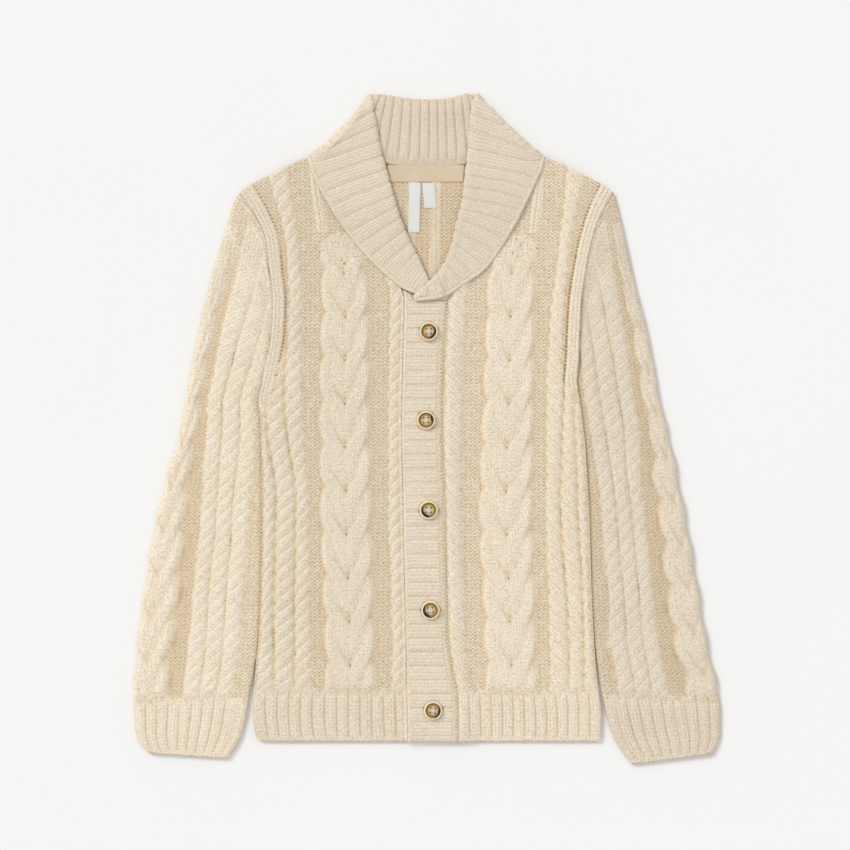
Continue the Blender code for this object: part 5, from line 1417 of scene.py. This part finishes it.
def button_piece(number, materials):
    """Four-hole button: light rim, dished middle, thread through the holes."""
    cx, cy = BUTTONS["x"][number], BUTTONS["y"][number]
    base = BAND_BASE + WALL + 1.6
    dish = np.linspace(0, 0.80, BUTTON_DISH_RINGS)
    share = np.concatenate((dish, BUTTON_RIM_RINGS))[:, None]
    turns = np.linspace(0, TURN, BUTTON_SIDES + 1)[:-1]
    z = BUTTON_HEIGHT - 1.9 * ease(share, 0.86, 0.66) + 0.5 * ease(share, 0.45, 0.1)
    z = z - 1.8 * ease(share, 0.90, 1.0) ** 2
    first_hole = math.radians(45) + 0.25 * math.sin(3 * number)
    at = [BUTTON_HOLE * np.array((math.cos(angle), math.sin(angle)))
          for angle in first_hole + np.arange(4) * TURN / 4]
    holes = 0.0
    x, y = BUTTON_RADIUS * share * np.cos(turns), BUTTON_RADIUS * share * np.sin(turns)
    for hole_x, hole_y in at:
        holes = holes + ease(np.hypot(x - hole_x, y - hole_y), 1.4, 0.95)
    # The holes are sunk, and the fourth column paints them dark as shade.
    rings = [stacked(cx + x, cy + y, base + z - 1.7 * holes, holes)]
    for size, height in BUTTON_UNDER:
        ring = around(turns, cx, cy, base + height, size * BUTTON_RADIUS)
        rings.append(np.concatenate((ring, 0 * ring[:, :1]), axis=1)[None])
    rows = np.concatenate(rings)
    faces = grid_faces(len(rows), BUTTON_SIDES, closed=True)
    ring = np.arange(len(faces)) // BUTTON_SIDES
    slots = np.where((ring >= BUTTON_DISH_RINGS) & (ring < len(share) + 2), 1, 0)
    points, faces, slots = merge_ends(rows.reshape(-1, 4), faces, slots, BUTTON_SIDES)
    for k in range(2):
        start = (cx, cy, base + BUTTON_HEIGHT - 1.5 + 0.5 * k)
        points, faces, slots = add_thread(points, faces, slots, start, at[k])
    dark = math.radians(BUTTON_DARK[number])
    dx, dy = (points[:, 0] - cx) / BUTTON_RADIUS, (points[:, 1] - cy) / BUTTON_RADIUS
    stitch = stacked(dx * math.cos(dark) + dy * math.sin(dark),
                     dy * math.cos(dark) - dx * math.sin(dark), 0.0)
    make_piece(f"button_{number + 1}", "button", materials, points[:, :3], faces, stitch,
               points[:, 3], slots)


def merge_ends(points, faces, slots, count):
    """Replaces the first and last ring, which are single points, by one vertex each."""
    last = len(points) - count
    index = np.arange(len(points))
    index[:count] = 0
    index[last:] = last
    made, kept = [], []
    for face, slot in zip(faces, slots):
        corners = list(dict.fromkeys(int(index[corner]) for corner in face))
        if len(corners) > 2:
            made.append(corners)
            kept.append(slot)
    used = np.unique(np.concatenate(made))
    renumber = np.zeros(len(points), int)
    renumber[used] = np.arange(len(used))
    return points[used], [renumber[face].tolist() for face in made], np.array(kept)


def add_thread(points, faces, slots, middle, reach, radius=0.75, sides=8, steps=11):
    """Adds a strand of sewing thread that arches over the middle from hole to hole."""
    t = np.linspace(0, 1, steps)[:, None]
    arch = 0.55 * np.sin(np.pi * t) ** 0.5 - 0.5
    path = np.concatenate((mix(-reach, reach, t), arch), axis=1) + np.array(middle)
    tangent = unit(np.gradient(path, axis=0))
    side = unit(np.cross(tangent, (0.0, 0.0, 1.0)))
    up = np.cross(side, tangent)
    turn = np.linspace(0, TURN, sides + 1)[:-1, None]
    rings = path[:, None] + radius * (np.cos(turn) * side[:, None] + 0.7 * np.sin(turn) * up[:, None])
    rings = np.concatenate((rings, np.zeros((steps, sides, 1))), axis=-1)
    first = len(points)
    made = grid_faces(steps, sides, first, closed=True)
    for end in (first, first + (steps - 1) * sides):
        made.append(list(range(end, end + sides)))
    points = np.concatenate((points, rings.reshape(-1, 4)))
    return points, faces + made, np.concatenate((slots, np.full(len(made), 2)))


# ---------------------------------------------------------------- stage and assembly

def add_stage():
    """Pale floor, soft light from the upper left and a camera straight above."""
    scene = bpy.context.scene
    bpy.ops.mesh.primitive_plane_add(size=FLOOR_SIZE, location=(0, 0, 0))
    floor = bpy.context.object
    floor.name = "floor"
    r = Recipe("floor_white", 0.9)
    tint = r.colour(r.noise(3.0), *FLOOR_WHITES)
    floor.data.materials.append(r.finish(tint, r.noise(400.0), 0.00002, 0.1))
    scene.world = bpy.data.worlds.new("studio")
    scene.world.use_nodes = True
    background = scene.world.node_tree.nodes["Background"]
    background.inputs["Color"].default_value = (1.0, 1.0, 1.0, 1.0)
    background.inputs["Strength"].default_value = ROOM_LIGHT
    scene.view_settings.view_transform = "Standard"
    key = bpy.data.lights.new("key", "SUN")
    key.energy = KEY_LIGHT
    key.angle = math.radians(KEY_WIDTH)
    item = bpy.data.objects.new("key", key)
    scene.collection.objects.link(item)
    item.rotation_euler = Vector(KEY_DIRECTION).to_track_quat("-Z", "Y").to_euler()
    camera = bpy.data.cameras.new("overhead")
    camera.lens = LENS
    camera.sensor_width = SENSOR
    camera.clip_end = 20.0
    scene.camera = bpy.data.objects.new("overhead", camera)
    scene.collection.objects.link(scene.camera)
    distance = PIXEL * IMAGE / 2 / (SENSOR / 2 / LENS)
    scene.camera.location = [MM * value for value in (*VIEW_CENTRE, distance + VIEW_LEVEL)]


def main():
    creams = {}
    # Each piece gets its own copy of the yarn, painted lighter or darker for the light falling on it.
    for name, (tint, speckle, lines) in YARNS.items():
        colours = [tinted(colour, (tint, tint, tint)) for colour in CREAM]
        creams[name] = wool(f"wool_{name}", *colours, speckle, lines)
    tape = woven("neck_tape_weave", *TAPE_COLOURS, 2.4, 0.85)
    satin = woven("label_satin", *SATIN_COLOURS, 0.8, 0.42, sheen=0.2)
    ivory = plain_gloss("button_rim", RIM_COLOUR, 0.22)
    thread = plain_gloss("thread", THREAD_COLOUR, 0.8)
    pieces = {"back": back_piece(wool("wool_inside", *SHADED_INSIDE_CREAM, 0.5, 1.0))}
    for side, sign in (("left", -1), ("right", 1)):
        pieces[f"front_{side}"] = front_piece(side, sign, creams[f"front_{side}"])
        pieces[f"sleeve_{side}"] = sleeve_piece(side, creams[f"sleeve_{side}"])
    pieces["band_top"] = band_piece(creams["band_top"])
    pieces["collar"] = collar_piece(creams["collar"])
    pieces["neck_tape"] = trim_piece("neck_tape", "neck_tape", tape)
    for name in ("label_long", "label_short"):
        pieces[name] = trim_piece(name, "label", satin)
    for number in range(len(BUTTONS["x"])):
        button_piece(number, [horn(f"horn_{number + 1}"), ivory, thread])
    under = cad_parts["band_under"]
    under.data.materials.clear()
    under.data.materials.append(creams["band_top"])
    add_stage()


main()
bpy.context.view_layer.update()
